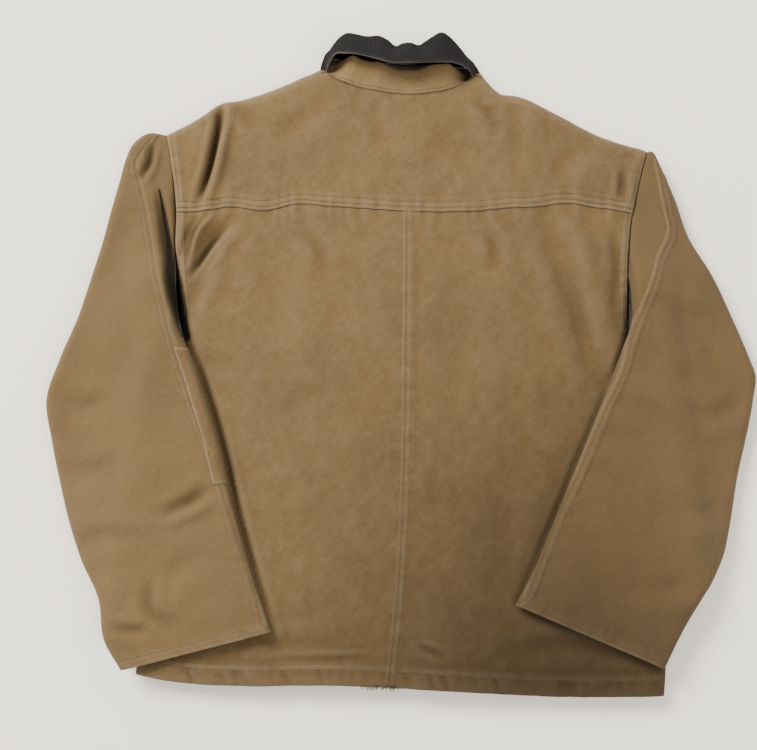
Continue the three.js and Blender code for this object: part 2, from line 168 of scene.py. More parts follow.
# The outlines and seams of the body
pattern = {
    "leftSide": smoothThrough([(-392, -312), (-200, -286), (24, -264), (60, -268), (91, -272), (135, -276),
                               (179, -276), (236, -283), (275, -290)]),
    "rightSide": smoothThrough([(-402, 304), (-342, 309), (-170, 294), (30, 275), (73, 274), (122, 277),
                                (169, 283), (210, 293), (258, 306)]),
    "centreBack": smoothThrough([(-392, -22), (-294, -11), (-179, -4), (0, 0), (169, 2), (330, 2)]),
    "hem": smoothThrough([(-312, -379), (-258, -388), (-176, -392), (-83, -391), (-8, -394), (79, -399),
                          (184, -404), (304, -404)]),
    "yokeSeam": smoothThrough([(-285, 171), (-248, 171), (-208, 177), (-171, 172), (-123, 181), (-92, 178),
                               (-62, 176), (4, 171), (85, 171), (134, 175), (158, 176), (201, 182),
                               (243, 176), (290, 167)]),
    "shoulder": smoothThrough([(-290, 272), (-262, 287), (-242, 300), (-224, 313), (-205, 316), (-180, 323),
                               (-137, 340), (-118, 349), (-100, 352), (-81, 340), (-62, 332), (-38, 325),
                               (-13, 321), (6, 319), (37, 321), (62, 326), (80, 335), (100, 347), (115, 333),
                               (122, 327), (142, 323), (198, 297), (246, 271), (306, 251)]),
}
body = {"foldZ": 11.0, "topZ": 25.5, "crown": 6.0, "frontZ": 1.8, "radius": 16.0, "shoulder": 15.0, "cloth": 1.7,
        "facing": 1.5, "lining": 1.4, "pocket": 1.2, "columns": 196, "lowerRows": 176, "yokeRows": 56}


def sideLine(sign):
    return pattern["leftSide"] if sign < 0 else pattern["rightSide"]


# How far the middle of the back stands above its sides
def crownAt(x, y):
    l, r = pattern["leftSide"](y), pattern["rightSide"](y)
    return body["crown"] * np.sin(np.pi * np.clip((x - l) / (r - l), 0, 1))


def topOf(x, y):
    return body["topZ"] + crownAt(x, y) * blendTo(1.0, 0.45, np.clip((y + 392) / 700, 0, 1))


# The side is open above the armhole and closed below it
def sideClosed(y):
    return step(75, 15, y)


# 0 where back and front meet, 1 on the flat: at the closed side, and over the shoulder outside the neck
def closedTurn(x, y, rise):
    over = step(92, 112, np.abs(x))
    return blendTo(1.0, rise, sideClosed(y)) * blendTo(1.0, rounded(pattern["shoulder"](x) - y, body["shoulder"]), over)


# Columns across the back, closer together at the sides
def acrossShares(count, edge=0.052):
    n = 9
    turn = 1 - np.cos(np.linspace(0, np.pi / 2, n))
    left = edge / 2 * turn
    middle = np.linspace(edge / 2, 1 - edge / 2, count - 2 * n + 2)[1:-1]
    return np.r_[left, middle, 1 - left[::-1]]


planRounds = 6     # enough for a grid to settle between its lines


def backPlan(s, rows, lowLine, topLine, lowY, topY):
    q = asColumns(blendTo(lowY, topY, rows), len(s))
    for _ in range(planRounds):
        l, m, r = pattern["leftSide"](q), pattern["centreBack"](q), pattern["rightSide"](q)
        x = np.where(s < 0.5, blendTo(l, m, 2 * s), blendTo(m, r, 2 * s - 1))
        q = blendTo(lowLine(x), topLine(x), rows[:, None])
    return x, q


# Small waves along a seam, strongest on it
def puckers(along, gap, reach, size, seed, cell=13.0):
    line = along * 0 + seed
    return size * ridge(gap, 0, reach) * (softNoise(along, line, cell, seed)
                                          + 0.6 * softNoise(along, line, cell / 2.3, seed + 1))


# Where each seam's rows of stitches lie, from its edge
seams = {"yoke": (4.6, 11.5), "centre": (5.0, 11.5), "side": (4.5, 11.0), "hem": (18.0, 24.0), "sleeve": (5.0, 11.5),
         "front": (11.5, 31.0), "pocket": (4.0, 10.4), "band": 13.0, "cuff": 11.0}


def groove(gap, at, depth=0.6, width=1.2):
    return -depth * ridge(gap, at, width)


def grooves(gap, seam):
    return sum(groove(gap, at) for at in seams[seam])


# Which way a grid of points faces. The columns of a ring close on themselves.
def gridNormals(p, ring=False):
    du = np.roll(p, -1, 1) - np.roll(p, 1, 1) if ring else np.gradient(p, axis=1)
    n = np.cross(du, np.gradient(p, axis=0))
    return n / np.maximum(np.linalg.norm(n, axis=2, keepdims=True), 1e-9)


# Painted shadow: the cloth is darker towards one corner of the hem, along the hem and towards the right side
cornerShadow = {"x": 175.0, "y": -380.0, "wide": 252.0, "long": 322.0, "depth": 0.62, "hem": 0.16, "right": 0.10}


def paintedCornerShadow(place):
    x, y = place[:, 0], place[:, 1]
    corner = cornerShadow["depth"] * np.exp(-((x - cornerShadow["x"]) / cornerShadow["wide"]) ** 2 - ((y - cornerShadow["y"]) / cornerShadow["long"]) ** 2)
    return (1 - corner) * (1 - cornerShadow["hem"] * step(-250, -385, y)) * (1 - cornerShadow["right"] * step(40, 330, x))


def addAttribute(mesh, name, values):
    mesh.attributes.new(name, "FLOAT", "POINT").data.foreach_set("value", values.astype(np.float32))


def addObject(name, points, faces, uv, wear, shade):
    mesh = bpy.data.meshes.new(name)
    mesh.from_pydata(((np.asarray(points) + shift) * 0.001).tolist(), [], faces.tolist())
    layer = mesh.uv_layers.new(name="cloth")
    loops = np.empty(len(mesh.loops), np.int32)
    mesh.loops.foreach_get("vertex_index", loops)
    layer.data.foreach_set("uv", (uv[loops] * 0.001).astype(np.float32).ravel())
    # each piece's tone takes the painted corner shadow
    tone = paintedCornerShadow(np.asarray(points))
    addAttribute(mesh, "wear", np.zeros(len(tone)) if wear is None else wear)
    addAttribute(mesh, "tone", tone if shade is None else tone * shade)
    mesh.validate()
    mesh.update()
    mesh.polygons.foreach_set("use_smooth", [True] * len(mesh.polygons))
    obj = bpy.data.objects.new(name, mesh)
    scene.collection.objects.link(obj)
    return obj


rimBulge = 0.42     # of the cloth's thickness


# A closed sheet: the outer face, the inner face a cloth's thickness below it, and a rounded rim.
# A ring is a tube, open at both ends.
def sheetObject(name, outer, thickness, uv, wear=None, shade=None, ring=False):
    rows, columns = outer.shape[:2]
    normal = gridNormals(outer, ring)
    depth = np.broadcast_to(thickness, (rows, columns))[..., None]
    inner = outer - normal * depth
    count = rows * columns
    index = np.arange(count).reshape(rows, columns)
    right = np.roll(index, -1, 1) if ring else index[:, 1:]
    left = index if ring else index[:, :-1]
    top = np.stack([left[:-1], right[:-1], right[1:], left[1:]], -1).reshape(-1, 4)
    faces = [top, top[:, ::-1] + count]
    points = [outer.reshape(-1, 3), inner.reshape(-1, 3)]
    uvs = [uv.reshape(-1, 2)] * 2
    wears = None if wear is None else [wear.ravel()] * 2
    shades = None if shade is None else [shade.ravel()] * 2
    if ring:
        loops = [(index[0], outer[0] - outer[1], False), (index[-1], outer[-1] - outer[-2], True)]
    else:
        edge = np.r_[index[0, :-1], index[:-1, -1], index[-1, :0:-1], index[:0:-1, 0]]
        away = np.zeros((rows, columns, 3))
        away[0] += outer[0] - outer[1]
        away[-1] += outer[-1] - outer[-2]
        for a, b in ((0, 1), (-1, -2)):
            d = outer[:, a] - outer[:, b]
            away[:, a] += d / np.maximum(np.linalg.norm(d, axis=1, keepdims=True), 1e-6) * 2
        loops = [(edge, away.reshape(-1, 3)[edge], False)]
    start = 2 * count
    for edge, away, flip in loops:
        away = away / np.maximum(np.linalg.norm(away, axis=1, keepdims=True), 1e-6)
        flatOut, flatIn = points[0][edge], points[1][edge]
        rim = (flatOut + flatIn) / 2 + away * depth.reshape(-1, 1)[edge] * rimBulge
        points.append(rim)
        uvs.append(uvs[0][edge])
        if wears:
            wears.append(np.clip(wears[0][edge] + 0.35, 0, 1))
        if shades:
            shades.append(shades[0][edge])
        r = start + np.arange(len(edge))
        start += len(edge)
        nextEdge, nextR = np.roll(edge, -1), np.roll(r, -1)
        a = np.stack([edge, r, nextR, nextEdge], -1)
        b = np.stack([r, edge + count, nextEdge + count, nextR], -1)
        faces += [f[:, ::-1] if flip else f for f in (a, b)]
    joined = [None if rows is None else np.concatenate(rows) for rows in (points, faces, uvs, wears, shades)]
    return addObject(name, *joined)


def treeOf(obj):
    mesh = obj.data
    return BVHTree.FromPolygons([v.co for v in mesh.vertices], [p.vertices for p in mesh.polygons])


# A material, its node tree and its shader
def newMaterial(name, roughness, metallic=0.0, sheen=0.0):
    material = bpy.data.materials.new(name)
    material.use_nodes = True
    tree = material.node_tree
    shader = tree.nodes["Principled BSDF"]
    shader.inputs["Roughness"].default_value = roughness
    shader.inputs["Metallic"].default_value = metallic
    shader.inputs["Sheen Weight"].default_value = sheen
    shader.inputs["Sheen Roughness"].default_value = 0.5
    shader.inputs["Specular IOR Level"].default_value = 0.2 if metallic == 0 else 0.5
    return material, tree, shader


def clothUV(tree):
    node = tree.nodes.new("ShaderNodeUVMap")
    node.uv_map = "cloth"
    return node.outputs["UV"]


def attributeNode(tree, name):
    node = tree.nodes.new("ShaderNodeAttribute")
    node.attribute_name = name
    return node


def noiseNode(tree, source, scale, detail=2.0, roughness=0.5, stretch=(1, 1, 1)):
    mapping = tree.nodes.new("ShaderNodeMapping")
    mapping.inputs["Scale"].default_value = stretch
    tree.links.new(source, mapping.inputs["Vector"])
    noise = tree.nodes.new("ShaderNodeTexNoise")
    noise.inputs["Scale"].default_value = scale
    noise.inputs["Detail"].default_value = detail
    noise.inputs["Roughness"].default_value = roughness
    tree.links.new(mapping.outputs["Vector"], noise.inputs["Vector"])
    return noise.outputs["Fac"]


def rampNode(tree, source, stops):
    ramp = tree.nodes.new("ShaderNodeValToRGB")
    while len(ramp.color_ramp.elements) < len(stops):
        ramp.color_ramp.elements.new(0.5)
    for element, (place, colour) in zip(ramp.color_ramp.elements, stops):
        element.position = place
        element.color = (*colour, 1)
    tree.links.new(source, ramp.inputs["Fac"])
    return ramp.outputs["Color"]


def mathNode(tree, operation, a, b):
    node = tree.nodes.new("ShaderNodeMath")
    node.operation = operation
    for socket, value in zip(node.inputs, (a, b)):
        if isinstance(value, (int, float)):
            socket.default_value = value
        else:
            tree.links.new(value, socket)
    return node.outputs["Value"]


def mixNode(tree, factor, a, b, kind="MIX"):
    node = tree.nodes.new("ShaderNodeMix")
    node.data_type = "RGBA"
    node.blend_type = kind
    if isinstance(factor, (int, float)):
        node.inputs[0].default_value = factor
    else:
        tree.links.new(factor, node.inputs[0])
    for socket, value in ((node.inputs[6], a), (node.inputs[7], b)):
        if isinstance(value, tuple):
            socket.default_value = (*value, 1)
        else:
            tree.links.new(value, socket)
    return node.outputs[2]


def bumpNode(tree, height, distance, strength, shader, under=None):
    bump = tree.nodes.new("ShaderNodeBump")
    bump.inputs["Distance"].default_value = distance
    bump.inputs["Strength"].default_value = strength
    tree.links.new(height, bump.inputs["Height"])
    if under is not None:
        tree.links.new(under, bump.inputs["Normal"])
    tree.links.new(bump.outputs["Normal"], shader.inputs["Normal"])
    return bump.outputs["Normal"]


canvasLook = {"dark": (0.067, 0.0395, 0.0164), "mid": (0.117, 0.0730, 0.0308), "light": (0.175, 0.117, 0.0570),
              "worn": (0.245, 0.182, 0.106), "grain": 1700.0, "slub": 620.0, "cloud": 9.0}


def canvasMaterial(name, shade=1.0):
    material, tree, shader = newMaterial(name, 0.93, sheen=0.05)
    shader.inputs["Specular IOR Level"].default_value = 0.1
    look = {k: tuple(c * shade for c in v) if isinstance(v, tuple) else v for k, v in canvasLook.items()}
    uv = clothUV(tree)
    weft = noiseNode(tree, uv, look["slub"], 3, 0.6, (0.22, 1.5, 1))
    warp = noiseNode(tree, uv, look["slub"], 3, 0.6, (1.5, 0.22, 1))
    grain = noiseNode(tree, uv, look["grain"], 2, 0.6)
    cloud = noiseNode(tree, uv, look["cloud"], 4, 0.6)
    threads = mathNode(tree, "MULTIPLY", mathNode(tree, "ADD", weft, warp), 0.5)
    threads = mathNode(tree, "ADD", mathNode(tree, "MULTIPLY", threads, 0.55), mathNode(tree, "MULTIPLY", grain, 0.45))
    colour = rampNode(tree, threads, [(0.25, look["dark"]), (0.5, look["mid"]), (0.75, look["light"])])
    tone = rampNode(tree, cloud, [(0.3, (0.90, 0.90, 0.935)), (0.7, (1.06, 1.045, 0.985))])
    colour = mixNode(tree, 1.0, colour, tone, "MULTIPLY")
    wear = attributeNode(tree, "wear")
    speckle = mathNode(tree, "ADD", mathNode(tree, "MULTIPLY", grain, 0.9), 0.25)
    patchy = mathNode(tree, "MULTIPLY", wear.outputs["Fac"], speckle)
    colour = mixNode(tree, patchy, colour, look["worn"])
    # tone carries the painted shadow and shade set on each piece
    colour = mixNode(tree, 1.0, colour, attributeNode(tree, "tone").outputs["Color"], "MULTIPLY")
    tree.links.new(colour, shader.inputs["Base Color"])
    first = bumpNode(tree, threads, 0.0005, 0.45, shader)
    bumpNode(tree, noiseNode(tree, uv, 60.0, 3, 0.6), 0.0016, 0.35, shader, first)
    return material


def corduroyMaterial():
    material, tree, shader = newMaterial("collarCorduroy", 0.96)
    shader.inputs["Specular IOR Level"].default_value = 0.06
    uv = clothUV(tree)
    pile = noiseNode(tree, uv, 1400.0, 2, 0.6)
    lint = noiseNode(tree, uv, 900.0, 3, 0.7, (0.6, 2.0, 1))
    base = rampNode(tree, pile, [(0.3, (0.0045, 0.0042, 0.0045)), (0.7, (0.0135, 0.0130, 0.0135))])
    wear = attributeNode(tree, "wear")
    crest = mathNode(tree, "MULTIPLY", wear.outputs["Fac"], mathNode(tree, "ADD", lint, -0.1))
    colour = mixNode(tree, crest, base, (0.038, 0.036, 0.036))
    rubbed = rampNode(tree, wear.outputs["Fac"], [(0.82, (0, 0, 0)), (0.98, (0.9, 0.9, 0.9))])
    colour = mixNode(tree, rubbed, colour, (0.105, 0.086, 0.072))
    tree.links.new(colour, shader.inputs["Base Color"])
    bumpNode(tree, pile, 0.0006, 0.6, shader)
    return material


def liningMaterial():
    material, tree, shader = newMaterial("blanketLining", 0.96, sheen=0.3)
    uv = clothUV(tree)
    fuzz = noiseNode(tree, uv, 500.0, 3, 0.7)
    band = noiseNode(tree, uv, 26.0, 1, 0.4, (1, 0.001, 1))
    base = rampNode(tree, band, [(0.40, (0.018, 0.018, 0.021)), (0.5, (0.075, 0.07, 0.062)),
                                        (0.60, (0.022, 0.022, 0.026))])
    colour = mixNode(tree, fuzz, base, (0.10, 0.095, 0.085))
    tree.links.new(colour, shader.inputs["Base Color"])
    bumpNode(tree, fuzz, 0.0012, 0.6, shader)
    return material


def threadMaterial(name, dark, light):
    material, tree, shader = newMaterial(name, 0.8, sheen=0.2)
    place = tree.nodes.new("ShaderNodeTexCoord").outputs["Object"]
    twist = noiseNode(tree, place, 1800.0, 2, 0.6)
    colour = rampNode(tree, twist, [(0.35, dark), (0.65, light)])
    colour = mixNode(tree, 1.0, colour, attributeNode(tree, "tone").outputs["Color"], "MULTIPLY")
    tree.links.new(colour, shader.inputs["Base Color"])
    bumpNode(tree, twist, 0.0003, 0.6, shader)
    return material


def brassMaterial(name, dark, light, roughness):
    material, tree, shader = newMaterial(name, roughness, metallic=1.0)
    place = tree.nodes.new("ShaderNodeTexCoord").outputs["Object"]
    tarnish = noiseNode(tree, place, 260.0, 4, 0.65)
    scratch = noiseNode(tree, place, 900.0, 2, 0.6, (0.15, 1, 1))
    tree.links.new(rampNode(tree, tarnish, [(0.35, dark), (0.65, light)]), shader.inputs["Base Color"])
    tree.links.new(rampNode(tree, tarnish, [(0.3, (roughness + 0.2,) * 3), (0.7, (roughness - 0.08,) * 3)]),
              shader.inputs["Roughness"])
    bumpNode(tree, scratch, 0.00012, 0.4, shader)
    return material


def tapeMaterial():
    material, tree, shader = newMaterial("zipTape", 0.9, sheen=0.1)
    place = tree.nodes.new("ShaderNodeTexCoord").outputs["Object"]
    ribs = noiseNode(tree, place, 1400.0, 2, 0.5, (0.25, 1, 1))
    tree.links.new(rampNode(tree, ribs, [(0.35, (0.07, 0.046, 0.025)), (0.65, (0.16, 0.11, 0.062))]),
              shader.inputs["Base Color"])
    bumpNode(tree, ribs, 0.0004, 0.6, shader)
    return material


looks = {
    "canvas": canvasMaterial("duckCanvas"),
    "facing": canvasMaterial("duckCanvasInside", 0.82),
    "corduroy": corduroyMaterial(),
    "lining": liningMaterial(),
    "thread": threadMaterial("seamThread", (0.092, 0.058, 0.024), (0.185, 0.125, 0.062)),
    "fray": threadMaterial("frayedThread", (0.26, 0.20, 0.13), (0.50, 0.42, 0.31)),
    # needle holes are dark beads: painted shade in the holes
    "hole": threadMaterial("needleHole", (0.012, 0.008, 0.004), (0.035, 0.023, 0.011)),
    "brass": brassMaterial("wornBrass", (0.20, 0.13, 0.055), (0.62, 0.45, 0.20), 0.38),
    "tape": tapeMaterial(),
}


def finishPiece(obj, look, nodes=(), ride=None):
    obj.data.materials.clear()
    obj.data.materials.append(looks[look])
    if nodes:
        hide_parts(*nodes)
    if ride:
        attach(obj, ride)


def camel(node):
    first, *rest = node.split("_")
    return first + "".join(word.capitalize() for word in rest)


# A sheet of the jacket that stands for one CAD node and is named after it
def clothPiece(node, p, thickness, uv, look, wear=None, shade=None):
    piece = sheetObject(camel(node), p, thickness, uv, wear, shade)
    finishPiece(piece, look, [node], "jacket")
    return piece


# Back
sleeveEdge = {-1: smoothThrough([(-345, -140), (-329, -151), (-248, -180), (-163, -204), (-111, -217), (-52, -236),
                                 (1, -255), (24, -264)]),
              1: smoothThrough([(-380, 110), (-299, 130), (-271, 146), (-191, 182), (-134, 207), (-75, 232),
                                (1, 263), (24, 272)])}


# 1 where a sleeve lies on the back
def underSleeve(x, y):
    left = step(4, -6, x - sleeveEdge[-1](y)) * step(-340, -325, y + 0.26 * (-151 - x) * (x < -151))
    right = step(-4, 6, x - sleeveEdge[1](y)) * step(-312, -296, y + 0.44 * (x - 130) * (x > 130))
    return np.clip(left + right, 0, 1) * step(40, 10, y)


backCreases = [
    ([(-223, 300), (-227, 262), (-236, 222), (-246, 186)], 3.2, -2.2, 0.5),
    ([(-236, 168), (-250, 148), (-258, 122), (-262, 104)], 3.0, -2.6, 0.8),
    ([(-214, 150), (-236, 122), (-256, 92)], 3.4, -2.0, 0.5),
    ([(200, 88), (214, 40), (228, -10)], 8, -1.6, 0.4),
    ([(-222, 316), (-223, 295), (-228, 257), (-235, 223), (-249, 180)], 6, -6.0, 0.55),
    ([(-266, 34), (-247, -10), (-233, -48), (-214, -107), (-201, -159), (-177, -244), (-148, -328)], 4.2, -3.6, 0.05),
    ([(272, 30), (241, -58), (223, -98), (200, -148), (179, -196), (142, -276), (124, -312)], 4.0, -1.4, 0.05),
    ([(-218, 314), (-206, 288), (-194, 264)], 10, 3.0, 0.2),
    ([(-247, 168), (-261, 136), (-266, 108)], 7, -3.5, 0.5),
    ([(-203, 168), (-222, 146), (-238, 122), (-262, 84)], 9, -3.2, 0.5),
    ([(-225, 130), (-243, 90), (-262, 40)], 10, -2.0, 0.5),
    ([(171, 166), (192, 107), (207, 65), (223, 9), (235, -37), (239, -58)], 17, -5.0, 0.55),
    ([(196, 128), (214, 80), (232, 20), (252, -40)], 16, 2.4, 0.2),
    ([(-47, 308), (-30, 270), (-3, 216)], 16, -2.2, 0.4),
    ([(126, 326), (136, 284), (146, 238)], 15, -2.4, 0.45),
    ([(273, 224), (271, 205), (268, 184)], 6, -3.0, 0.5),
    ([(19, -348), (30, -351), (46, -358)], 4, -1.6, 0.5),
    ([(-147, -361), (-95, -362), (-36, -360)], 4, -1.3, 0.5),
    ([(-60, 160), (-66, 60), (-58, -60), (-64, -160)], 26, -1.6, 0.4),
    ([(60, 150), (70, 20), (62, -110), (70, -260)], 30, -1.8, 0.4),
    ([(-150, 150), (-160, 40), (-168, -60)], 22, -1.8, 0.4),
    ([(140, -60), (118, -160), (104, -300)], 24, -2.0, 0.4),
    ([(-200, -330), (-130, -345), (-60, -338)], 12, -1.3, 0.4),
    ([(120, -352), (190, -344), (262, -352)], 12, -1.6, 0.4),
    ([(-90, 320), (-120, 290), (-160, 262)], 14, -1.8, 0.4),
    ([(90, 318), (112, 290), (118, 262)], 10, -1.6, 0.4),
    ([(20, 300), (24, 262), (14, 226)], 14, 1.4, 0.3),
    ([(230, 262), (200, 232), (188, 196)], 13, -1.8, 0.4),
    ([(-120, 150), (-100, 118), (-96, 80)], 10, -1.3, 0.4),
    ([(100, 152), (112, 120), (108, 90)], 10, -1.3, 0.4),
    ([(256, 150), (262, 110), (258, 60)], 8, -2.0, 0.4),
    ([(280, -310), (236, -316), (196, -306)], 10, -1.8, 0.4),
]


# The gap between the left sleeve and the body, below the armhole: it is sunk a little and painted dark as shade
pit = {"path": [(-296, 198), (-290, 167), (-284, 135), (-279, 104), (-274, 77), (-268, 50), (-258, 16)],
       "halfWidth": [1.2, 3.0, 4.6, 7.0, 9.0, 7.5, 4.5], "dark": 0.93, "sink": 4.0}


def inPit(x, y):
    gap, share = nearLine(pit["path"], x, y, 24)
    wide = np.interp(share, np.linspace(0, 1, len(pit["halfWidth"])), pit["halfWidth"])
    return np.exp(-(np.abs(gap) / wide) ** 4)


def backHeight(x, y):
    z = topOf(x, y) + 1.6 * creaseHeight(x, y, backCreases)
    z = z + 2.3 * rumple(x, y, 80, 5) + 0.9 * rumple(x, y * 0.7, 26, 15, 2) + 0.2 * rumple(x, y, 7, 25, 2)
    z = z - pit["sink"] * inPit(x, y)
    flat = body["topZ"] + crownAt(x, y) - 0.8
    return blendTo(z, flat, underSleeve(x, y))


# Distance in from the nearer side, how far the cloth has risen there, and which side it is
def sideRoll(x, y):
    l, r = pattern["leftSide"](y), pattern["rightSide"](y)
    gap = np.minimum(x - l, r - x)
    return gap, rounded(gap, body["radius"]), np.where(x - l < r - x, -1.0, 1.0)


def backSurface(s, rows, lowLine, topLine, lowY, topY, kind):
    x, y = backPlan(s, rows, lowLine, topLine, lowY, topY)
    z = backHeight(x, y)
    gap, rise, side = sideRoll(x, y)
    closed = sideClosed(y)
    fall = np.where(side < 0, step(225, 165, y) * step(20, 60, y) * 0.55, 0.16)
    # painted shade in the narrow folds and in the gap under the left arm
    shade = foldShade(x, y, backCreases, 1.6) * (1 - pit["dark"] * inPit(x, y))
    turn = blendTo(1 - fall * (1 - rounded(gap, 11)), rise, closed)
    wear = np.full(x.shape, 0.10) + 0.03 * rumple(x, y, 60, 71)
    seamGap = np.where(y > 20, gap, 99)
    band = step(seams["band"] + 2, seams["band"] - 1, seamGap) * step(0, 3, seamGap)
    z = z + 1.0 * band + grooves(seamGap, "side") + puckers(y, gap - 8, 14, 0.9, 31) * (y > 20)
    wear = wear + 0.45 * ridge(seamGap, 1.2, 2.2) + 0.18 * ridge(seamGap, 7.5, 2.5)
    shoulderGap = pattern["shoulder"](x) - y
    over = step(92, 112, np.abs(x + 2))
    drop = rounded(shoulderGap, body["shoulder"])
    turn = turn * blendTo(1.0, drop, over)
    yokeGap = y - pattern["yokeSeam"](x)
    if kind == "yoke":
        z = z + 1.9 + grooves(yokeGap, "yoke") - 0.7 * step(14, 19, yokeGap)
        z = z + puckers(x, yokeGap - 5, 15, 1.0, 41) + puckers(x, shoulderGap - 4, 9, 0.8, 43)
        wear = wear + 0.55 * ridge(yokeGap, 0.6, 1.8) + 0.2 * ridge(yokeGap, 8, 2.4)
        wear = wear + 0.35 * ridge(shoulderGap, 3, 4.0) * over
        # painted shade in a thin line along the neck seam
        shade = shade * (1 - 0.5 * ridge(shoulderGap, 0, 1.3) * (1 - over))
    else:
        z = z + puckers(x, yokeGap + 3, 17, 1.0, 41)
        centre = x - pattern["centreBack"](y)
        z = z + puckers(y, centre - 7, 13, 0.8, 51)
        if kind == "right":
            z = z + 1.1 * step(seams["band"] + 2.5, seams["band"] - 0.5, centre) + grooves(centre, "centre")
            wear = wear + 0.38 * ridge(centre, 0.8, 1.6) + 0.1 * ridge(centre, 8, 2.4)
        hemGap = y - pattern["hem"](x)
        fold = np.clip(softNoise(x + 0.3 * hemGap, x * 0, 7.5, 61) - 0.05, 0, 1) ** 0.8
        z = z + 1.0 * step(27, 24, hemGap) + grooves(hemGap, "hem")
        # painted shade in the puckers above the hem
        shade = shade * (1 - 0.16 * fold * step(22, 14, hemGap))
        # the notches worn into the hem edge are painted dark, as the shade inside them
        rubbed = step(-49, -45, x) * step(-25, -29, x) + step(-24, -21, x) * step(-1, -5, x)
        rubbed = rubbed * np.clip(0.75 + softNoise(x, x * 0, 3.5, 69), 0, 1)
        shade = shade * (1 - 0.85 * rubbed * ridge(hemGap, 0.6, 1.9))
        z = z - 1.6 * fold * step(20, 14, hemGap) + puckers(x, hemGap - 20, 16, 1.0, 63, 17)
        sink = rounded(hemGap + 1, 9)
        z = z - 4.5 * (1 - sink) - 5.0 * step(70, 0, hemGap) * (0.6 + 0.4 * softNoise(x, x * 0, 120, 67))
        wear = wear + 0.6 * ridge(hemGap, 0, 2.5) + 0.18 * ridge(hemGap, 21, 3)
        wear = wear - 0.12 * ridge(hemGap, 29, 4)
    z = blendTo(body["foldZ"], z, turn)
    slope = np.gradient(np.gradient(z, axis=1), axis=1) + np.gradient(np.gradient(z, axis=0), axis=0)
    wear = np.clip(wear - 0.35 * np.clip(slope, -0.5, 0.5), 0, 1)
    return np.stack([x, y, z], -1), wear, shade


shares = acrossShares(body["columns"])
half = body["columns"] // 2
lowRows = np.linspace(0, 1, body["lowerRows"])
underYoke = lambda x: pattern["yokeSeam"](x) + 7.0
backTrees = {}
for kind, columns in (("left", slice(0, half + 2)), ("right", slice(half, None))):
    p, wear, shade = backSurface(shares[columns], lowRows, pattern["hem"], underYoke, -392, 182, kind)
    piece = clothPiece("back_panel_" + kind, p, body["cloth"], p[..., :2], "canvas",
                       wear, shade)
    backTrees[kind] = treeOf(piece)
topTurn = 1 - 0.1 * (1 - np.sin(np.linspace(0, np.pi / 2, 9)))
topShares = np.r_[np.linspace(0, 0.9, body["yokeRows"] - 8)[:-1], topTurn]
p, wear, shade = backSurface(shares, topShares, pattern["yokeSeam"], pattern["shoulder"], 175, 262, "yoke")
piece = clothPiece("back_yoke", p, body["cloth"], np.stack([p[..., 1] + 1000, p[..., 0]], -1), "canvas",
                   wear, shade)
backTrees["yoke"] = treeOf(piece)
print("back: yoke and panels")


# Laying lines on cloth
threadLines = {"jacket": [], "sleeve_left": [], "sleeve_right": []}


# Points dropped on a piece, from above or from below, and raised a little off it
def layOn(tree, points, lift, below):
    out = []
    way = Vector((0, 0, 1 if below else -1))
    for x, y in np.asarray(points, float):
        start = Vector(((x + shift[0]) * 0.001, (y + shift[1]) * 0.001, -0.05 if below else 0.15))
        hit, normal, _, _ = tree.ray_cast(start, way)
        if hit is None:
            continue
        out.append(hit + normal * (lift * 0.001 if normal.dot(way) < 0 else -lift * 0.001))
    return out


# A row of stitches laid on a piece; it breaks where the points leave the piece
sewing = {"lift": 0.12, "breakAt": 0.012, "fewest": 4}


def sew(owner, tree, points, below=False):
    runs = [[]]
    for p in layOn(tree, points, sewing["lift"], below):
        if runs[-1] and (p - runs[-1][-1]).length > sewing["breakAt"]:
            runs.append([])
        runs[-1].append(p)
    threadLines[owner] += [run for run in runs if len(run) >= sewing["fewest"]]


# A line at a distance from another
def beside(points, offset):
    line = alongPath(points, 200)
    d = np.gradient(line, axis=0)
    d /= np.linalg.norm(d, axis=1, keepdims=True)
    return line + offset * np.stack([-d[:, 1], d[:, 0]], 1)


for rise in seams["yoke"]:
    xs = np.linspace(-272, 278, 260)
    sew("jacket", backTrees["yoke"], np.stack([xs, pattern["yokeSeam"](xs) + rise], 1))
for offset in seams["centre"]:
    ys = np.linspace(-388, 169, 260)
    sew("jacket", backTrees["right"], np.stack([pattern["centreBack"](ys) + offset, ys], 1))
for offset in seams["hem"]:
    for kind, x0, x1 in (("left", -300, -20), ("right", -8, 296)):
        xs = np.linspace(x0, x1, 160)
        sew("jacket", backTrees[kind], np.stack([xs, pattern["hem"](xs) + offset], 1))
for sign, kind in ((-1, "left"), (1, "right")):
    for offset in seams["side"]:
        for where, y0, y1 in (("yoke", 184, 256 if sign < 0 else 238), (kind, 42, 166)):
            ys = np.linspace(y0, y1, 70)
            sew("jacket", backTrees[where], np.stack([sideLine(sign)(ys) - sign * offset, ys], 1))


# Fronts
frontShape = {"rise": 4.0, "neckDepth": 105.0, "underarm": {-1: 8.5, 1: 5.5}}     # underarm: reach under the sleeve


def frontTop(x):
    q = np.abs(x - zipX) / np.abs(np.where(x < zipX, -100.0, 100.0) - zipX)
    return np.where(q >= 1, pattern["shoulder"](x), 350 - frontShape["neckDepth"] * np.sqrt(np.clip(1 - q * q, 0, 1)))


def frontGrid(sign, columns, rows, toEdge=8.0, low=0.0, underarm=0.0):
    t = np.linspace(0, 1, columns)
    v = np.linspace(low, 1, rows)
    hemLine = lambda x: pattern["hem"](x) + 1.5 - 4 * step(70, 20, np.abs(x - zipX))
    q = asColumns(blendTo(-390.0, 255.0, v), columns)
    edgeX = zipX + sign * toEdge
    for _ in range(planRounds):
        side = sideLine(sign)(q) + sign * underarm * ridge(q, 74, 38)
        x = blendTo(side, edgeX, t)
        q = blendTo(hemLine(x), frontTop(x), v[:, None])
    y = q
    gap = sign * (sideLine(sign)(y) - x)
    return x, y, closedTurn(x, y, rounded(gap, body["radius"]))


# The front rises towards the zip
def frontLift(x):
    return frontShape["rise"] * step(54, 27, np.abs(x - zipX))


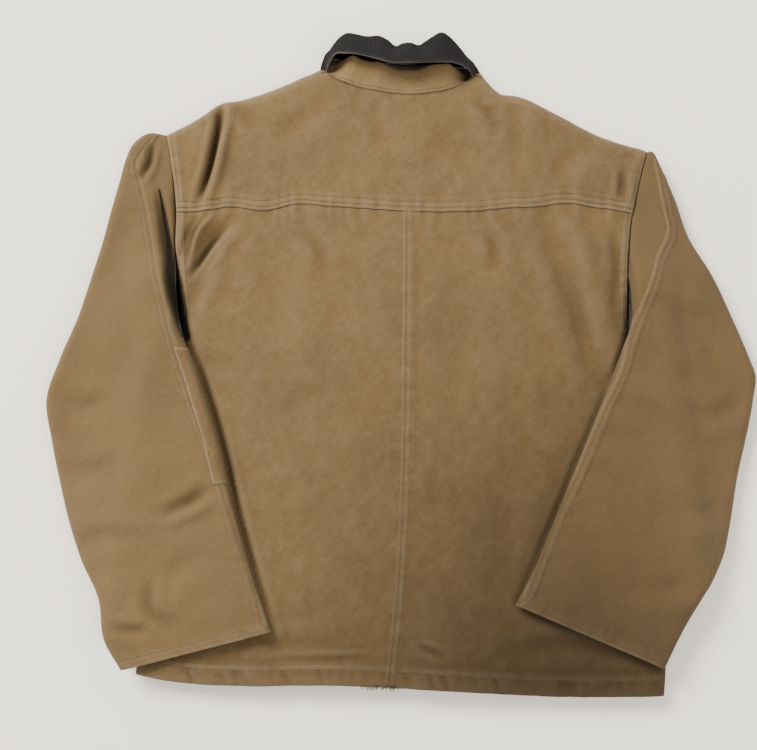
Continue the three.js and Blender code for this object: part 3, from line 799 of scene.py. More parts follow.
for side, sign in (("left", -1), ("right", 1)):
    x, y, turn = frontGrid(sign, 96, 170, underarm=frontShape["underarm"][sign])
    fromZip = np.abs(x - zipX)
    inward = sign * (sideLine(sign)(y) - x)
    # painted shade: the front is darkened where it reaches under the sleeve and shows in the underarm gap
    shade = 1 - 0.95 * step(4, 0, inward) * step(5, 25, y) * step(165, 140, y)
    hemGap = y - pattern["hem"](x)
    fuzz = 0.5 + 0.5 * np.clip(rumple(x, y, 60, 91 + sign), -1, 1)
    z = blendTo(body["foldZ"], body["frontZ"] + frontLift(x) + 0.9 * fuzz * step(0, 40, fromZip - 20), turn)
    z = z - 0.5 * step(26, 23, hemGap) + 0.35 * ridge(hemGap, 18, 1.2)
    z = z - 0.25 * np.sin((x + hemGap) / 2.1) * step(25, 18, hemGap)
    wear = 0.12 + 0.5 * ridge(hemGap, 0, 3) + 0.3 * ridge(fromZip, 9, 2.5) + 0.1 * fuzz
    p = np.stack([x, y, z], -1)
    # outward is down here, so columns run towards -X
    if sign < 0:
        p, wear, shade = p[:, ::-1], wear[:, ::-1], shade[:, ::-1]
    front = clothPiece("front_panel_" + side, p, body["cloth"], p[..., :2] + 3000, "canvas",
                       np.clip(wear, 0, 1), shade)
    tree = treeOf(front)
    for offset in seams["hem"]:
        xs = np.linspace(*((-300, -32) if sign < 0 else (-12, 292)), 150)
        sew("jacket", tree, np.stack([xs, pattern["hem"](xs) + offset], 1), below=True)
    for offset in seams["front"]:
        ys = np.linspace(-382, 228, 260)
        sew("jacket", tree, np.stack([ys * 0 + zipX + sign * offset, ys], 1), below=True)

    x, y, turn = frontGrid(sign, 40, 70, toEdge=56.0, low=0.02)
    p = np.stack([x, y, blendTo(body["foldZ"] - 1.0, body["frontZ"] + 2.7 + 0.3 * softNoise(x, y, 20, 7), turn)], -1)
    p[..., 0] -= sign * 3.0 * sideClosed(y) * np.clip(1 - np.abs(x - sideLine(sign)(y)) / 30, 0, 1)
    if sign < 0:
        p = p[:, ::-1]
    clothPiece("body_lining_" + side, p, body["lining"], p[..., :2], "lining")

    v = np.linspace(0.004, 1, 90)
    x = zipX + sign * asRows(np.linspace(55, 10, 20), len(v))
    y = blendTo(-388.0, frontTop(x) - 1.0, v[:, None])
    z = body["frontZ"] + frontLift(x) + 2.9 + 1.4 * step(30, 22, np.abs(x - zipX))
    p = np.stack([x, y, z + 0.12 * softNoise(x, y, 14, 5)], -1)
    if sign < 0:
        p = p[:, ::-1]
    clothPiece("front_facing_" + side, p, body["facing"], p[..., :2] + 500, "facing")
print("fronts: panels, facings and linings")


# Patch pockets: left, right, bottom, top, and how far the mouth slants
pockets = {"hand_pocket_left": (-262, -98, -352, -150, -46), "hand_pocket_right": (52, 216, -356, -154, 46),
           "chest_pocket": (-216, -92, 12, 158, 0)}
for node, (x0, x1, y0, y1, slant) in pockets.items():
    t, v = np.linspace(0, 1, 70), np.linspace(0, 1, 80)
    mouth = y1 - (slant * t if slant > 0 else -slant * (1 - t))
    corner = 14 - np.sqrt(np.clip(14 ** 2 - np.clip(14 - np.minimum(t, 1 - t) * (x1 - x0), 0, 14) ** 2, 0, None))
    x = asRows(blendTo(x0, x1, t), len(v))
    y = blendTo((y0 + corner)[None], mouth[None], v[:, None])
    rim = np.minimum(np.minimum(x - x0, x1 - x), y - y0 - corner[None])
    top = mouth[None] - y
    z = 0.35 + 0.35 * rumple(x, y, 34, 121) ** 2 + 0.3 * ridge(rim, 4, 1.1)
    z = z + 0.3 * ridge(rim, 10.4, 1.1) + 0.3 * ridge(top, 22, 1.1) - 0.25 * step(22, 19, top)
    wear = 0.12 + 0.5 * ridge(np.minimum(rim, top), 0, 2)
    p = np.stack([x, y, z], -1)[:, ::-1]
    piece = clothPiece(node, p, body["pocket"], p[..., :2] + 700, "canvas",
                       np.clip(wear[:, ::-1], 0, 1))
    tree = treeOf(piece)
    for inset in seams["pocket"]:
        path = [(x0 + inset, y1 - 60), (x0 + inset, y0 + 26), (x0 + inset + 5, y0 + inset + 6),
                (x0 + 26, y0 + inset), (x1 - 26, y0 + inset), (x1 - inset - 5, y0 + inset + 6),
                (x1 - inset, y0 + 26), (x1 - inset, y1 - 60)]
        sew("jacket", tree, alongPath(path, 200), below=True)
    a, b = (x0 + 3, float(mouth[0]) - 22), (x1 - 3, float(mouth[-1]) - 22)
    sew("jacket", tree, np.linspace(a, b, 60), below=True)
print("pockets")

# Lining of the back, and the loop
t, v = np.linspace(0.006, 0.994, 150), np.linspace(0.015, 0.985, 120)
x, y = backPlan(t, v, pattern["hem"], pattern["shoulder"], -392, 262)
_, rise, side = sideRoll(x, y)
z = topOf(x, y) - 5.0 + 1.6 * np.minimum(creaseHeight(x, y, backCreases), 0) + 2.3 * rumple(x, y, 80, 5)
z = z - 1.6 - 4 * step(40, 0, y - pattern["hem"](x))
z = blendTo(body["foldZ"] + 1.2, z, closedTurn(x, y, rise))
p = np.stack([x - side * 2.0 * (1 - rise), y, z], -1)
piece = sheetObject("bodyLining", p, body["lining"], p[..., :2])
finishPiece(piece, "lining", ["body_lining_back"], "jacket")
loop = {"halfLength": 26, "width": 8, "rows": 9, "columns": 41, "y": 300, "sag": 5, "cloth": 1.0}
x = asRows(loop["halfLength"] * np.linspace(-1, 1, loop["columns"]), loop["rows"])
sag = loop["sag"] * (1 - np.abs(x / loop["halfLength"]) ** 4)
y = loop["y"] + np.linspace(0, loop["width"], loop["rows"])[:, None] - sag
crown = 0.2 * np.sin(np.linspace(0, np.pi, loop["rows"]))[:, None]
p = np.stack([x, y, body["topZ"] - 3.0 - sag + crown], -1)
clothPiece("hanger_loop", p, loop["cloth"], p[..., :2], "facing")
print("lining and loop")
# Sleeves
sleeveShape = {"height": 23.7, "cuff": 11.5, "radius": 12.0, "armholeGap": 0.9, "lap": 1.8, "cloth": 1.7,
               "length": 690.0, "tone": 0.90, "rows": 196, "over": 112, "beneath": 40, "capFrom": 0.982,
               "lining": 1.3, "liningInset": 3.4}
sleeves = {
    "left": {
        "sign": -1, "seamTo": 271,
        "outer": [(-323, -373), (-344, -338), (-352, -296), (-377, -249), (-395, -202), (-408, -155), (-419, -107),
                  (-427, -59), (-413, -11), (-393, 39), (-378, 90), (-367, 130), (-358, 170), (-347, 215),
                  (-341, 240), (-334, 257), (-322, 269), (-308, 274)],
        "inner": [(-151, -329), (-180, -248), (-204, -163), (-217, -111), (-236, -52), (-255, 1), (-264, 24)],
        "seam": [(-305, 258), (-323, 230), (-317, 207), (-309, 175), (-302, 142), (-295, 112), (-287, 82),
                 (-280, 57), (-271, 21), (-258, -21), (-238, -78), (-220, -125), (-208, -160), (-193, -206),
                 (-179, -247), (-167, -282), (-157, -319)],
        "creases": [
            ([(-299, 206), (-291, 160), (-284, 120), (-275, 75), (-266, 34)], 6.5, -6.6, 0.1),
            ([(-222, -166), (-240, -178), (-280, -197)], 8, -3.4, 0.6),
            ([(-291, -268), (-288, -308), (-260, -326)], 8, -2.8, 0.6),
            ([(-335, -325), (-315, -328), (-290, -330)], 6, -2.4, 0.5),
            ([(-304, 258), (-312, 225), (-321, 210)], 5, -4.0, 0.4),
            ([(-330, 180), (-345, 120), (-362, 60)], 18, -2.2, 0.4),
            ([(-300, 60), (-322, 0), (-352, -60)], 20, -2.0, 0.4),
            ([(-410, -60), (-380, -70), (-340, -62)], 12, -2.2, 0.5),
            ([(-400, -150), (-360, -150), (-320, -128)], 14, -2.0, 0.5),
            ([(-380, -235), (-345, -222), (-310, -228)], 11, -2.0, 0.5),
            ([(-230, -240), (-262, -262), (-282, -290)], 14, -1.8, 0.4)]},
    "right": {
        "sign": 1, "seamTo": 250,
        "outer": [(300, -371), (327, -322), (344, -296), (362, -272), (375, -249), (389, -202), (399, -155),
                  (412, -107), (423, -59), (427, -29), (421, -11), (402, 39), (381, 88), (353, 139), (339, 185),
                  (329, 212), (320, 233), (312, 251)],
        "inner": [(130, -299), (146, -271), (182, -191), (207, -134), (232, -75), (263, 1), (272, 24)],
        "seam": [(311, 237), (313, 223), (317, 194), (322, 165), (325, 147), (317, 129), (308, 112), (299, 88),
                 (288, 61), (270, 21), (255, -30), (232, -77), (211, -124), (198, -153), (178, -192), (159, -238),
                 (138, -289)],
        "creases": [
            ([(330, 200), (340, 150), (352, 110)], 12, -2.4, 0.4),
            ([(300, 70), (330, 40), (372, 30)], 15, -2.4, 0.5),
            ([(278, 10), (312, -30), (356, -52)], 16, -2.6, 0.5),
            ([(250, -60), (296, -86), (330, -120)], 14, -2.0, 0.5),
            ([(408, -60), (372, -80), (336, -74)], 12, -2.0, 0.5),
            ([(212, -140), (250, -172), (270, -214)], 16, -2.2, 0.5),
            ([(380, -190), (340, -196), (300, -180)], 13, -1.8, 0.4),
            ([(180, -210), (220, -250), (236, -300)], 14, -1.8, 0.4),
            ([(340, -270), (300, -284), (262, -276)], 12, -1.8, 0.4)]},
}
quarter = np.linspace(0, np.pi / 2, 8)


# Where the columns of a face lie across it, closer together at its two rolled edges
def facePlan(count, width):
    radius = np.minimum(sleeveShape["radius"], 0.3 * width)[:, None]
    near = radius / width[:, None] * (1 - np.cos(quarter))
    r = radius / width[:, None]
    mid = r + (1 - 2 * r) * (1 - (1 - np.linspace(0, 1, count - 14)[None, 1:-1]) ** 1.35)
    rise = np.r_[np.sin(quarter), np.ones(count - 16), np.sin(quarter)[::-1]]
    return np.concatenate([near, mid, 1 - near[:, ::-1]], 1), rise


def sleeveFace(side, v, cap, count, face, detail, inset=0.0):
    s = sleeves[side]
    sign, f = s["sign"], sideLine(s["sign"])
    runUp = np.linspace(40, s["seamTo"], 12)
    ends = []
    for line in (s["outer"], s["inner"] + [(float(f(y)) + sign * sleeveShape["armholeGap"], y) for y in runUp]):
        q = alongPath(line, 400)
        ends.append(np.stack([np.interp(v, np.linspace(0, 1, 400), q[:, c]) for c in (0, 1)], 1))
    o, n = ends
    width = np.linalg.norm(n - o, axis=1)
    away = (o - n) / width[:, None]
    o, n = o - away * inset, n + away * inset
    u, rise = facePlan(count, width)
    x = o[:, :1] + (n - o)[:, :1] * u
    y = o[:, 1:] + (n - o)[:, 1:] * u
    closed = step(125, 62, n[:, 1:])
    fall = step(225, 165, n[:, 1:]) * step(30, 70, n[:, 1:]) if sign < 0 else 0.25 + 0 * n[:, 1:]
    fromInner = (1 - u) * width[:, None]
    soft = rounded(fromInner, 11)
    inner = blendTo(1 - 0.6 * fall * (1 - soft), rise[None], closed)
    turn = np.where(u > 0.5, inner, rise[None]) * cap[:, None]
    outside = sign * (x - f(y))
    lap = step(125, 62, y) * step(66, 26, outside)
    if face > 0 and not inset:
        lap = 1 - (1 - lap) * (1 - step(150, 30, y) * step(128, 6, outside))
    rest = body["topZ"] + crownAt(x, y) + sleeveShape["lap"]
    base = blendTo(1.7, rest, lap) + inset
    height = blendTo(sleeveShape["cuff"], sleeveShape["height"] + 1.2, step(-380, 60, y)) - 2 * inset
    middle = base + 0.45 * height
    wear = 0.1 + 0.03 * rumple(x, y, 60, 171)
    if inset and face > 0:
        z = blendTo(middle + 0.15, base + height, turn)
        folds = np.minimum(1.5 * creaseHeight(x, y, s["creases"]) + 1.7 * rumple(x, y, 75, 181), 0.6)
        z = z + folds * np.clip(turn, 0, 1)
        return np.stack([x, y, np.maximum(z, middle + 0.15)], -1), wear, wear * 0 + 1
    if face < 0:
        z = blendTo(middle - 0.15, base, turn) + (0.3 * softNoise(x, y, 30, 3) + 0.3) * turn * detail
        return np.stack([x, y, z], -1), wear, 0.9 + 0 * x
    z = blendTo(middle + 0.15, base + height, turn)
    # the sleeves are darker by a fixed tone and lighter towards the cuffs, which lifts part of the painted corner
    # shadow there; painted shade in the narrow folds
    shade = blendTo(1.06 if sign < 0 else 1.3, sleeveShape["tone"], step(-330, 120, y))
    shade = shade * foldShade(x, y, s["creases"], 1.5)
    # painted shade in the gap under the left arm
    if sign < 0:
        shade = shade * (1 - pit["dark"] * inPit(x, y))
    if detail:
        gap, _ = nearLine(s["seam"], x, y, 40)
        gap = gap * sign
        band = step(-0.4, 0.7, gap) * step(seams["band"] + 1.5, seams["band"] - 1, gap)
        add = 1.5 * creaseHeight(x, y, s["creases"]) + 1.7 * rumple(x, y, 75, 181) + 0.6 * rumple(x, y, 24, 191, 2)
        add = add + 0.12 * rumple(x, y, 7, 201, 2)
        add = add + 1.0 * band + grooves(gap, "sleeve") + puckers(y, gap - 8, 14, 0.9, 211)
        wear = wear + 0.5 * ridge(gap, 0.6, 1.5) + 0.1 * ridge(gap, 8, 2.5)
        run = v[:, None] * sleeveShape["length"] + 0 * x
        across = u * width[:, None]
        add = add + 0.9 * step(14, 12, run) + groove(run, seams["cuff"]) + puckers(across, run - 10, 11, 0.9, 221)
        fold = np.clip(softNoise(across + 0.5 * run, across * 0, 7.5, 223) - 0.1, 0, 1)
        add = add - 1.3 * fold * step(12, 7, run)
        # painted shade in the puckers at the cuff
        shade = shade * (1 - 0.18 * fold * step(13, 8, run))
        wear = wear + 0.7 * ridge(run, 0, 2.5) + 0.2 * ridge(run, 9, 3)
        add = np.maximum(add, 2.7 - 0.55 * height)     # room for the lining
        z = z + add * np.clip(turn, 0, 1)
        wear = wear + 0.25 * (1 - np.clip(turn, 0, 1)) * (u < 0.5)
    return np.stack([x, y, z], -1), np.clip(wear, 0, 1), shade


# One tube: the face above, then the face beneath run backwards, and a rounded cap at the shoulder
def sleeveRing(side, rows, over, beneath, detail, inset=0.0, low=0.0):
    capTurn, capFrom = np.linspace(np.pi / 2, 0.12, 7)[1:], sleeveShape["capFrom"]
    v = np.r_[np.linspace(low, capFrom, rows), 1 - (1 - capFrom) * (1 - np.cos(capTurn))]
    cap = np.r_[np.ones(rows), np.sin(capTurn)]
    upper, lower = (sleeveFace(side, v, cap, *face, detail, inset) for face in ((over, 1), (beneath, -1)))
    ring, wear, shade = (np.concatenate([a, b[:, ::-1]], 1) for a, b in zip(upper, lower))
    if sleeves[side]["sign"] > 0:
        ring, wear, shade = ring[:, ::-1], wear[:, ::-1], shade[:, ::-1]
    around = lengthAlong(ring[len(ring) // 3])
    uv = np.stack([asRows(around, len(v)) + 2000, asColumns(v, ring.shape[1]) * sleeveShape["length"]], -1)
    return ring, wear, shade, uv, cap


for side in ("left", "right"):
    sign = sleeves[side]["sign"]
    owner = "sleeve_" + side
    ring, wear, shade, uv, cap = sleeveRing(side, sleeveShape["rows"], sleeveShape["over"],
                                            sleeveShape["beneath"], 1.0)
    taper = asColumns(0.12 + 0.88 * cap, ring.shape[1]) * sleeveShape["cloth"]
    piece = sheetObject("sleeve" + side.capitalize(), ring, taper, uv, wear, shade, ring=True)
    finishPiece(piece, "canvas", ["sleeve_top_" + side, "sleeve_under_" + side])
    sleeves[side].update(piece=piece, ring=ring)
    tree = treeOf(piece)
    for offset in seams["sleeve"]:
        sew(owner, tree, beside(sleeves[side]["seam"], offset * sign))
    tube = ring[int(seams["cuff"] / sleeveShape["length"] * sleeveShape["rows"] / sleeveShape["capFrom"])]
    for below in (False, True):
        m = np.argsort(tube[:, 0])
        xs = np.linspace(tube[:, 0].min() + 5, tube[:, 0].max() - 5, 60)
        sew(owner, tree, np.stack([xs, np.interp(xs, tube[m, 0], tube[m, 1])], 1), below=below)

    ring, _, _, uv, cap = sleeveRing(side, 70, 40, 24, 0.0, inset=sleeveShape["liningInset"], low=0.012)
    taper = asColumns(0.15 + 0.85 * cap, ring.shape[1]) * sleeveShape["lining"]
    lining = sheetObject("sleeveLining" + side.capitalize(), ring, taper, uv, ring=True)
    finishPiece(lining, "lining", ["sleeve_lining_upper_" + side, "sleeve_lining_lower_" + side])
    sleeves[side]["lining"] = lining

# Elbow patches: the left one wraps the inner fold, the right one lies under the arm
patchAt = {"left": {"across": (100, 132), "down": (-161, 1)}, "right": {"across": (118, 140), "down": (-150, 4)}}
patchShape = {"rows": 64, "columns": 40, "lift": 1.2, "cloth": 1.0, "long": 165, "rowPitch": 2.6}
for side, at in patchAt.items():
    ring, sign = sleeves[side]["ring"], sleeves[side]["sign"]
    normal = gridNormals(ring, ring=True)
    if sign > 0:
        ring, normal = ring[:, ::-1], normal[:, ::-1]
    innerY = ring[:, sleeveShape["over"] - 1, 1]
    held = np.nonzero((innerY > at["down"][0]) & (innerY < at["down"][1]))[0]
    a, b = at["across"]
    p = (ring + normal * patchShape["lift"])[held[0]:held[-1] + 1, a:b]
    rows, columns = patchShape["rows"], patchShape["columns"]
    rowsAt, colsAt = np.linspace(0, p.shape[0] - 1, rows), np.linspace(0, p.shape[1] - 1, columns)
    i, j = np.floor(rowsAt).astype(int).clip(0, p.shape[0] - 2), np.floor(colsAt).astype(int).clip(0, p.shape[1] - 2)
    fi, fj = (rowsAt - i)[:, None, None], (colsAt - j)[None, :, None]
    p = ((p[i][:, j] * (1 - fj) + p[i][:, j + 1] * fj) * (1 - fi)
         + (p[i + 1][:, j] * (1 - fj) + p[i + 1][:, j + 1] * fj) * fi)
    if sign > 0:
        p = p[:, ::-1]
    run = lengthAlong(p[30])
    uv = np.stack([asRows(run, rows) + 4000, asColumns(np.linspace(0, patchShape["long"], rows), columns)], -1)
    fromEnd = np.minimum(np.arange(rows), rows - 1 - np.arange(rows))[:, None] * patchShape["rowPitch"]
    edge = np.minimum(np.minimum(run, run[-1] - run)[None], fromEnd)
    piece = sheetObject("elbowPatch" + side.capitalize(), p, patchShape["cloth"], uv,
                        np.clip(0.15 + 0.6 * ridge(edge, 0, 2), 0, 1))
    finishPiece(piece, "canvas", ["elbow_patch_" + side])
    sleeves[side]["patch"] = piece
for side in ("left", "right"):
    for key in ("piece", "lining", "patch"):
        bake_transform(sleeves[side][key])
print("sleeves, linings and elbow patches")


# Collar
collar = {"turnFrom": (-88.0, 376.0), "turnTo": (86.0, 364.0), "turnZ": 5.0, "leaf": 2.6, "wale": 3.1,
          "waleRise": 0.62, "stand": 1.7, "standTop": 38.5, "edgeZ": 57.0, "endZ": 36.0, "standRows": 44,
          "leafRows": 44, "leafColumns": 520, "middle": 0.5, "halfWidth": 102.0, "wing": 1.1, "wingLong": 60}
collarCrest = smoothThrough([(-102, 351), (-100, 359), (-98, 370), (-88, 385), (-75, 401), (-68, 405), (-57, 404),
                             (-44, 401), (-25, 401), (-15, 395), (-6, 388), (2, 391), (13, 392), (23, 389),
                             (30, 393), (40, 400), (52, 406), (63, 399), (75, 385), (84, 373), (94, 365),
                             (100, 356), (103, 346)])
collarFree = smoothThrough([(-102, 340), (-96, 345), (-92, 357), (-84, 366), (-68, 365), (-50, 361), (-31, 355),
                            (-13, 350), (5, 349), (24, 350), (48, 351), (66, 352), (78, 350), (90, 343),
                            (96, 335), (103, 332)])


def turnY(x):
    (xa, ya), (xb, yb) = collar["turnFrom"], collar["turnTo"]
    line = ya + (yb - ya) * (x - xa) / (xb - xa)
    return np.minimum(line, collarCrest(x) - 5)


# Ribs of the cord, one for each wale along the run
def waleHeight(run):
    phase = run / collar["wale"]
    return 1 - np.abs(2 * (phase - np.floor(phase)) - 1) ** 3


xs = np.linspace(-99, 100, 170)
neckY = pattern["shoulder"](xs)
neckZ = backHeight(xs, neckY) + 0.4
ends = step(56, 86, np.abs(xs))
# where the stand falls away from the leaf
sag = np.exp(-((xs - 8) / 24) ** 4) + 0.45 * np.exp(-((xs + 44) / 12) ** 4)
topZ = blendTo(collar["standTop"], 14.0, ends) - 7.0 * sag
topY = collarFree(xs) + blendTo(3.0, -5.0, ends) - 5.0 * sag
v = np.linspace(0, 1, collar["standRows"])[:, None]
rise, fall = np.clip(v / 0.55, 0, 1), np.clip((v - 0.55) / 0.45, 0, 1)
x = asRows(xs, collar["standRows"]) * blendTo(1.0, 0.992, v)
y = blendTo(neckY[None] - 3.0 * step(92, 99, np.abs(xs)), topY[None], rise)
y = y + (turnY(xs)[None] - 1.5 - topY[None]) * fall
z = blendTo(neckZ[None], topZ[None], np.sin(rise * np.pi / 2) ** 1.2)
z = z - (topZ[None] - collar["turnZ"] - 1.4) * (1 - np.cos(fall * np.pi / 2)) ** 0.8
gap = y - neckY[None]
z = z + 0.5 * rumple(x, y, 30, 301) + puckers(x, gap - 4, 9, 0.9, 311) + groove(gap, 4.6)
z = z + 0.7 * step(0, 1, gap) * step(9, 6, gap)
wear = np.clip(0.14 + 0.1 * rumple(x, y, 40, 321), 0, 1)
# painted light and shade: the stand is brightened against the collar leaf's shadow, with painted shade in a thin line
# along the neck seam
shade = 1.3 - 1.0 * ridge(gap, -0.2, 1.2)
p = np.stack([x, y, z], -1)
piece = clothPiece("collar_stand", p, collar["stand"], p[..., :2] + 6000, "canvas",
                   wear, shade)
sew("jacket", treeOf(piece), np.stack([xs[4:-4], pattern["shoulder"](xs[4:-4]) + 4.6], 1))

columns, rows = collar["leafColumns"], collar["leafRows"]
spreadOut = np.pi / 2 * 0.985     # columns crowd together towards the ends
xs = collar["middle"] + collar["halfWidth"] * np.sin(np.linspace(-1, 1, columns) * spreadOut) / np.sin(spreadOut)
arcX = np.r_[0, np.cumsum(np.hypot(np.diff(xs), np.diff(collarCrest(xs))))]
leaf = np.zeros((rows, columns, 3))
for c, cx in enumerate(xs):
    baseY, out, edgeY = float(turnY(cx)), float(collarCrest(cx)), float(collarFree(cx))
    q = min(1.0, abs(cx - collar["middle"]) / 88)
    endFade = float(step(84, 102, abs(cx - collar["middle"])))
    edgeZ = blendTo(collar["edgeZ"] - (collar["edgeZ"] - collar["endZ"]) * q ** 4, 13.0, endFade)
    crestZ = blendTo(17.0, 7.0, endFade)
    line = [(baseY, collar["turnZ"]), (blendTo(baseY, out, 0.7), 3.4), (out - 0.8, crestZ),
            (blendTo(out, edgeY, 0.32), blendTo(crestZ, edgeZ, 0.36)), (edgeY, edgeZ)]
    leaf[::-1, c, 1:] = alongPath(line, rows)
    leaf[:, c, 0] = cx
x, y = leaf[..., 0], leaf[..., 1]
leafCreases = [
    ([(-6, 392), (-12, 372), (-16, 352)], 9, -1.3, 0.4),
    ([(26, 394), (30, 374), (30, 354)], 10, -0.9, 0.4),
    ([(-60, 402), (-58, 384), (-62, 366)], 14, 0.8, 0.2),
]
waves = 0.9 * rumple(x, y, 46, 401) + 1.6 * creaseHeight(x, y, leafCreases)
leaf[..., 2] += waves * step(0, 0.2, np.linspace(1, 0, rows))[:, None]
normal = gridNormals(leaf)
wale = waleHeight(arcX)
v = np.linspace(0, 1, rows)[:, None]
edgeRoll = step(0.0, 0.05, v) * step(1.0, 0.93, v)
leaf = leaf + normal * (collar["waleRise"] * wale[None] * edgeRoll + 0.12 * softNoise(x, y, 3, 411))[..., None]
run = lengthAlong(leaf[:, columns // 2])
uv = np.stack([asRows(arcX, rows), asColumns(run, columns)], -1)
wear = np.clip(0.35 * wale[None] + 0.5 * ridge(v, 0, 0.04) + 0.15 * rumple(x, y, 40, 421), 0, 1)
middle = columns // 2
halves = (("collarLeafLeft", slice(0, middle + 1), -1), ("collarLeafRight", slice(middle, columns), 1))
for name, cut, sign in halves:
    part = leaf[:, cut]
    piece = sheetObject(name, part, collar["leaf"], uv[:, cut], wear[:, cut])
    finishPiece(piece, "corduroy", ["collar_leaf"] if sign < 0 else [])
    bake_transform(piece)

for side, sign in (("left", -1), ("right", 1)):
    q, v = np.linspace(0, 1, 220), np.linspace(0, 1, 26)[:, None]
    inX = blendTo(zipX + sign * 6, sign * 98.0, q ** 0.8)
    inY = frontTop(inX) - 2
    outX, outY = blendTo(zipX + sign * 58, sign * 150.0, q), blendTo(176.0, 316.0, q)
    x, y = blendTo(outX[None], inX[None], v), blendTo(outY[None], inY[None], v)
    run = np.r_[0, np.cumsum(np.hypot(np.diff(outX), np.diff(outY)))]
    wale = waleHeight(run)
    z = 0.75 - 0.55 * wale[None] * step(0, 0.06, v) * step(1, 0.94, v) + 0.1 * softNoise(x, y, 10, 431)
    p = np.stack([x, y, z], -1)
    wear = np.clip(0.3 * wale[None] + 0.4 * ridge(v, 0, 0.05), 0, 1)
    uv = np.stack([asRows(run, len(v)), v * collar["wingLong"] + 0 * x], -1)
    # outward is down: a grid that runs the other way is turned to face the floor
    if gridNormals(p)[13, 110, 2] > 0:
        p, wear, uv = p[:, ::-1], wear[:, ::-1], uv[:, ::-1]
    clothPiece("collar_wing_" + side, p, collar["wing"], uv, "corduroy",
               wear)
print("collar")

# Fastener
fastener = {"low": -381.0, "high": 238.0, "z": 8.6, "pitch": 2.6, "tape": 0.8, "flapZ": 13.0, "flap": 1.3,
            "rows": 200, "flapRows": 150}
for side, sign in (("left", -1), ("right", 1)):
    t, v = np.linspace(2.6, 22, 12), np.linspace(fastener["low"] - 8, fastener["high"] + 4, fastener["rows"])[:, None]
    x = zipX + sign * asRows(t, fastener["rows"])
    y = v + 0 * x
    p = np.stack([x, y, fastener["z"] - 0.4 + 0.12 * np.sin(y / 9.0) + 0.05 * np.sin(x * 4)], -1)
    if sign > 0:
        p = p[:, ::-1]
    piece = sheetObject("zipTape" + side.capitalize(), p, fastener["tape"], p[..., :2])
    finishPiece(piece, "tape", ["zipper_tape_" + side], "jacket")
t, y = np.arange(-40, 25, 8.0), np.linspace(-388, 236, fastener["flapRows"])[:, None]
lift = np.interp(t, [-40, -24, -8, 24], [-2.1, 0.2, 0.8, 0.8])
x = zipX + asRows(t, fastener["flapRows"])
y = y + 0 * x
p = np.stack([x, y, fastener["flapZ"] + lift[None] + 0.25 * softNoise(x, y, 26, 501)], -1)
clothPiece("wind_flap", p, fastener["flap"], p[..., :2] + 900, "facing")


# Geometry Nodes make what repeats along a line: stitches, needle holes, frayed threads and teeth
def newTree(name, sizes):
    tree = bpy.data.node_groups.new(name, "GeometryNodeTree")
    tree.interface.new_socket("Geometry", in_out="INPUT", socket_type="NodeSocketGeometry")
    ids = {}
    for label, value in sizes.items():
        kind = "NodeSocketInt" if isinstance(value, int) else "NodeSocketFloat"
        socket = tree.interface.new_socket(label, in_out="INPUT", socket_type=kind)
        socket.default_value = value
        ids[label] = socket.identifier
    tree.interface.new_socket("Geometry", in_out="OUTPUT", socket_type="NodeSocketGeometry")
    return tree, ids, tree.nodes.new("NodeGroupInput"), tree.nodes.new("NodeGroupOutput")


def lastSteps(tree, geometry, look, out):
    kinds = ("RealizeInstances", "SetShadeSmooth", "SetMaterial")
    real, shade, paint = (tree.nodes.new("GeometryNode" + kind) for kind in kinds)
    paint.inputs["Material"].default_value = looks[look]
    tree.links.new(geometry, real.inputs[0])
    tree.links.new(real.outputs[0], shade.inputs[0])
    tree.links.new(shade.outputs[0], paint.inputs["Geometry"])
    tree.links.new(paint.outputs[0], out.inputs[0])


def vectorOf(tree, *values):
    node = tree.nodes.new("ShaderNodeCombineXYZ")
    for socket, value in zip(node.inputs, values):
        if isinstance(value, (int, float)):
            socket.default_value = value
        else:
            tree.links.new(value, socket)
    return node.outputs[0]


def instanceAlong(tree, given, shape, sizeOf, look, out):
    spread = tree.nodes.new("GeometryNodeResampleCurve")
    spread.mode = "LENGTH"
    tree.links.new(given.outputs["Geometry"], spread.inputs["Curve"])
    tree.links.new(given.outputs["Pitch"], spread.inputs["Length"])
    tangent = tree.nodes.new("GeometryNodeInputTangent")
    turn = tree.nodes.new("FunctionNodeAlignRotationToVector")
    turn.axis = "X"
    tree.links.new(tangent.outputs[0], turn.inputs["Vector"])
    place = tree.nodes.new("GeometryNodeInstanceOnPoints")
    tree.links.new(spread.outputs[0], place.inputs["Points"])
    tree.links.new(shape, place.inputs["Instance"])
    tree.links.new(turn.outputs[0], place.inputs["Rotation"])
    vary = tree.nodes.new("FunctionNodeRandomValue")
    vary.data_type = "FLOAT_VECTOR"
    vary.inputs[0].default_value, vary.inputs[1].default_value = sizeOf
    tree.links.new(given.outputs["Seed"], vary.inputs["Seed"])
    tree.links.new(vary.outputs[0], place.inputs["Scale"])
    lastSteps(tree, place.outputs[0], look, out)


stitchSizes = {"Pitch": 0.004, "Stitch length": 0.0031, "Thread width": 0.00085, "Seed": 7}


def stitchTree(name, look):
    tree, ids, given, out = newTree(name, stitchSizes)
    bead = tree.nodes.new("GeometryNodeMeshUVSphere")
    bead.inputs["Segments"].default_value, bead.inputs["Rings"].default_value = 6, 4
    bead.inputs["Radius"].default_value = 0.5
    shape = tree.nodes.new("GeometryNodeTransform")
    tree.links.new(bead.outputs[0], shape.inputs[0])
    tree.links.new(vectorOf(tree, given.outputs["Stitch length"], given.outputs["Thread width"],
                            given.outputs["Thread width"]), shape.inputs["Scale"])
    instanceAlong(tree, given, shape.outputs[0], ((0.9, 0.85, 0.8), (1.06, 1.15, 1.1)), look, out)
    return tree, ids


def curveFrom(name, runs):
    curve = bpy.data.curves.new(name, "CURVE")
    curve.dimensions = "3D"
    for run in runs:
        spline = curve.splines.new("POLY")
        spline.points.add(len(run) - 1)
        spline.points.foreach_set("co", [c for p in run for c in (*p, 1.0)])
    obj = bpy.data.objects.new(name, curve)
    scene.collection.objects.link(obj)
    return obj


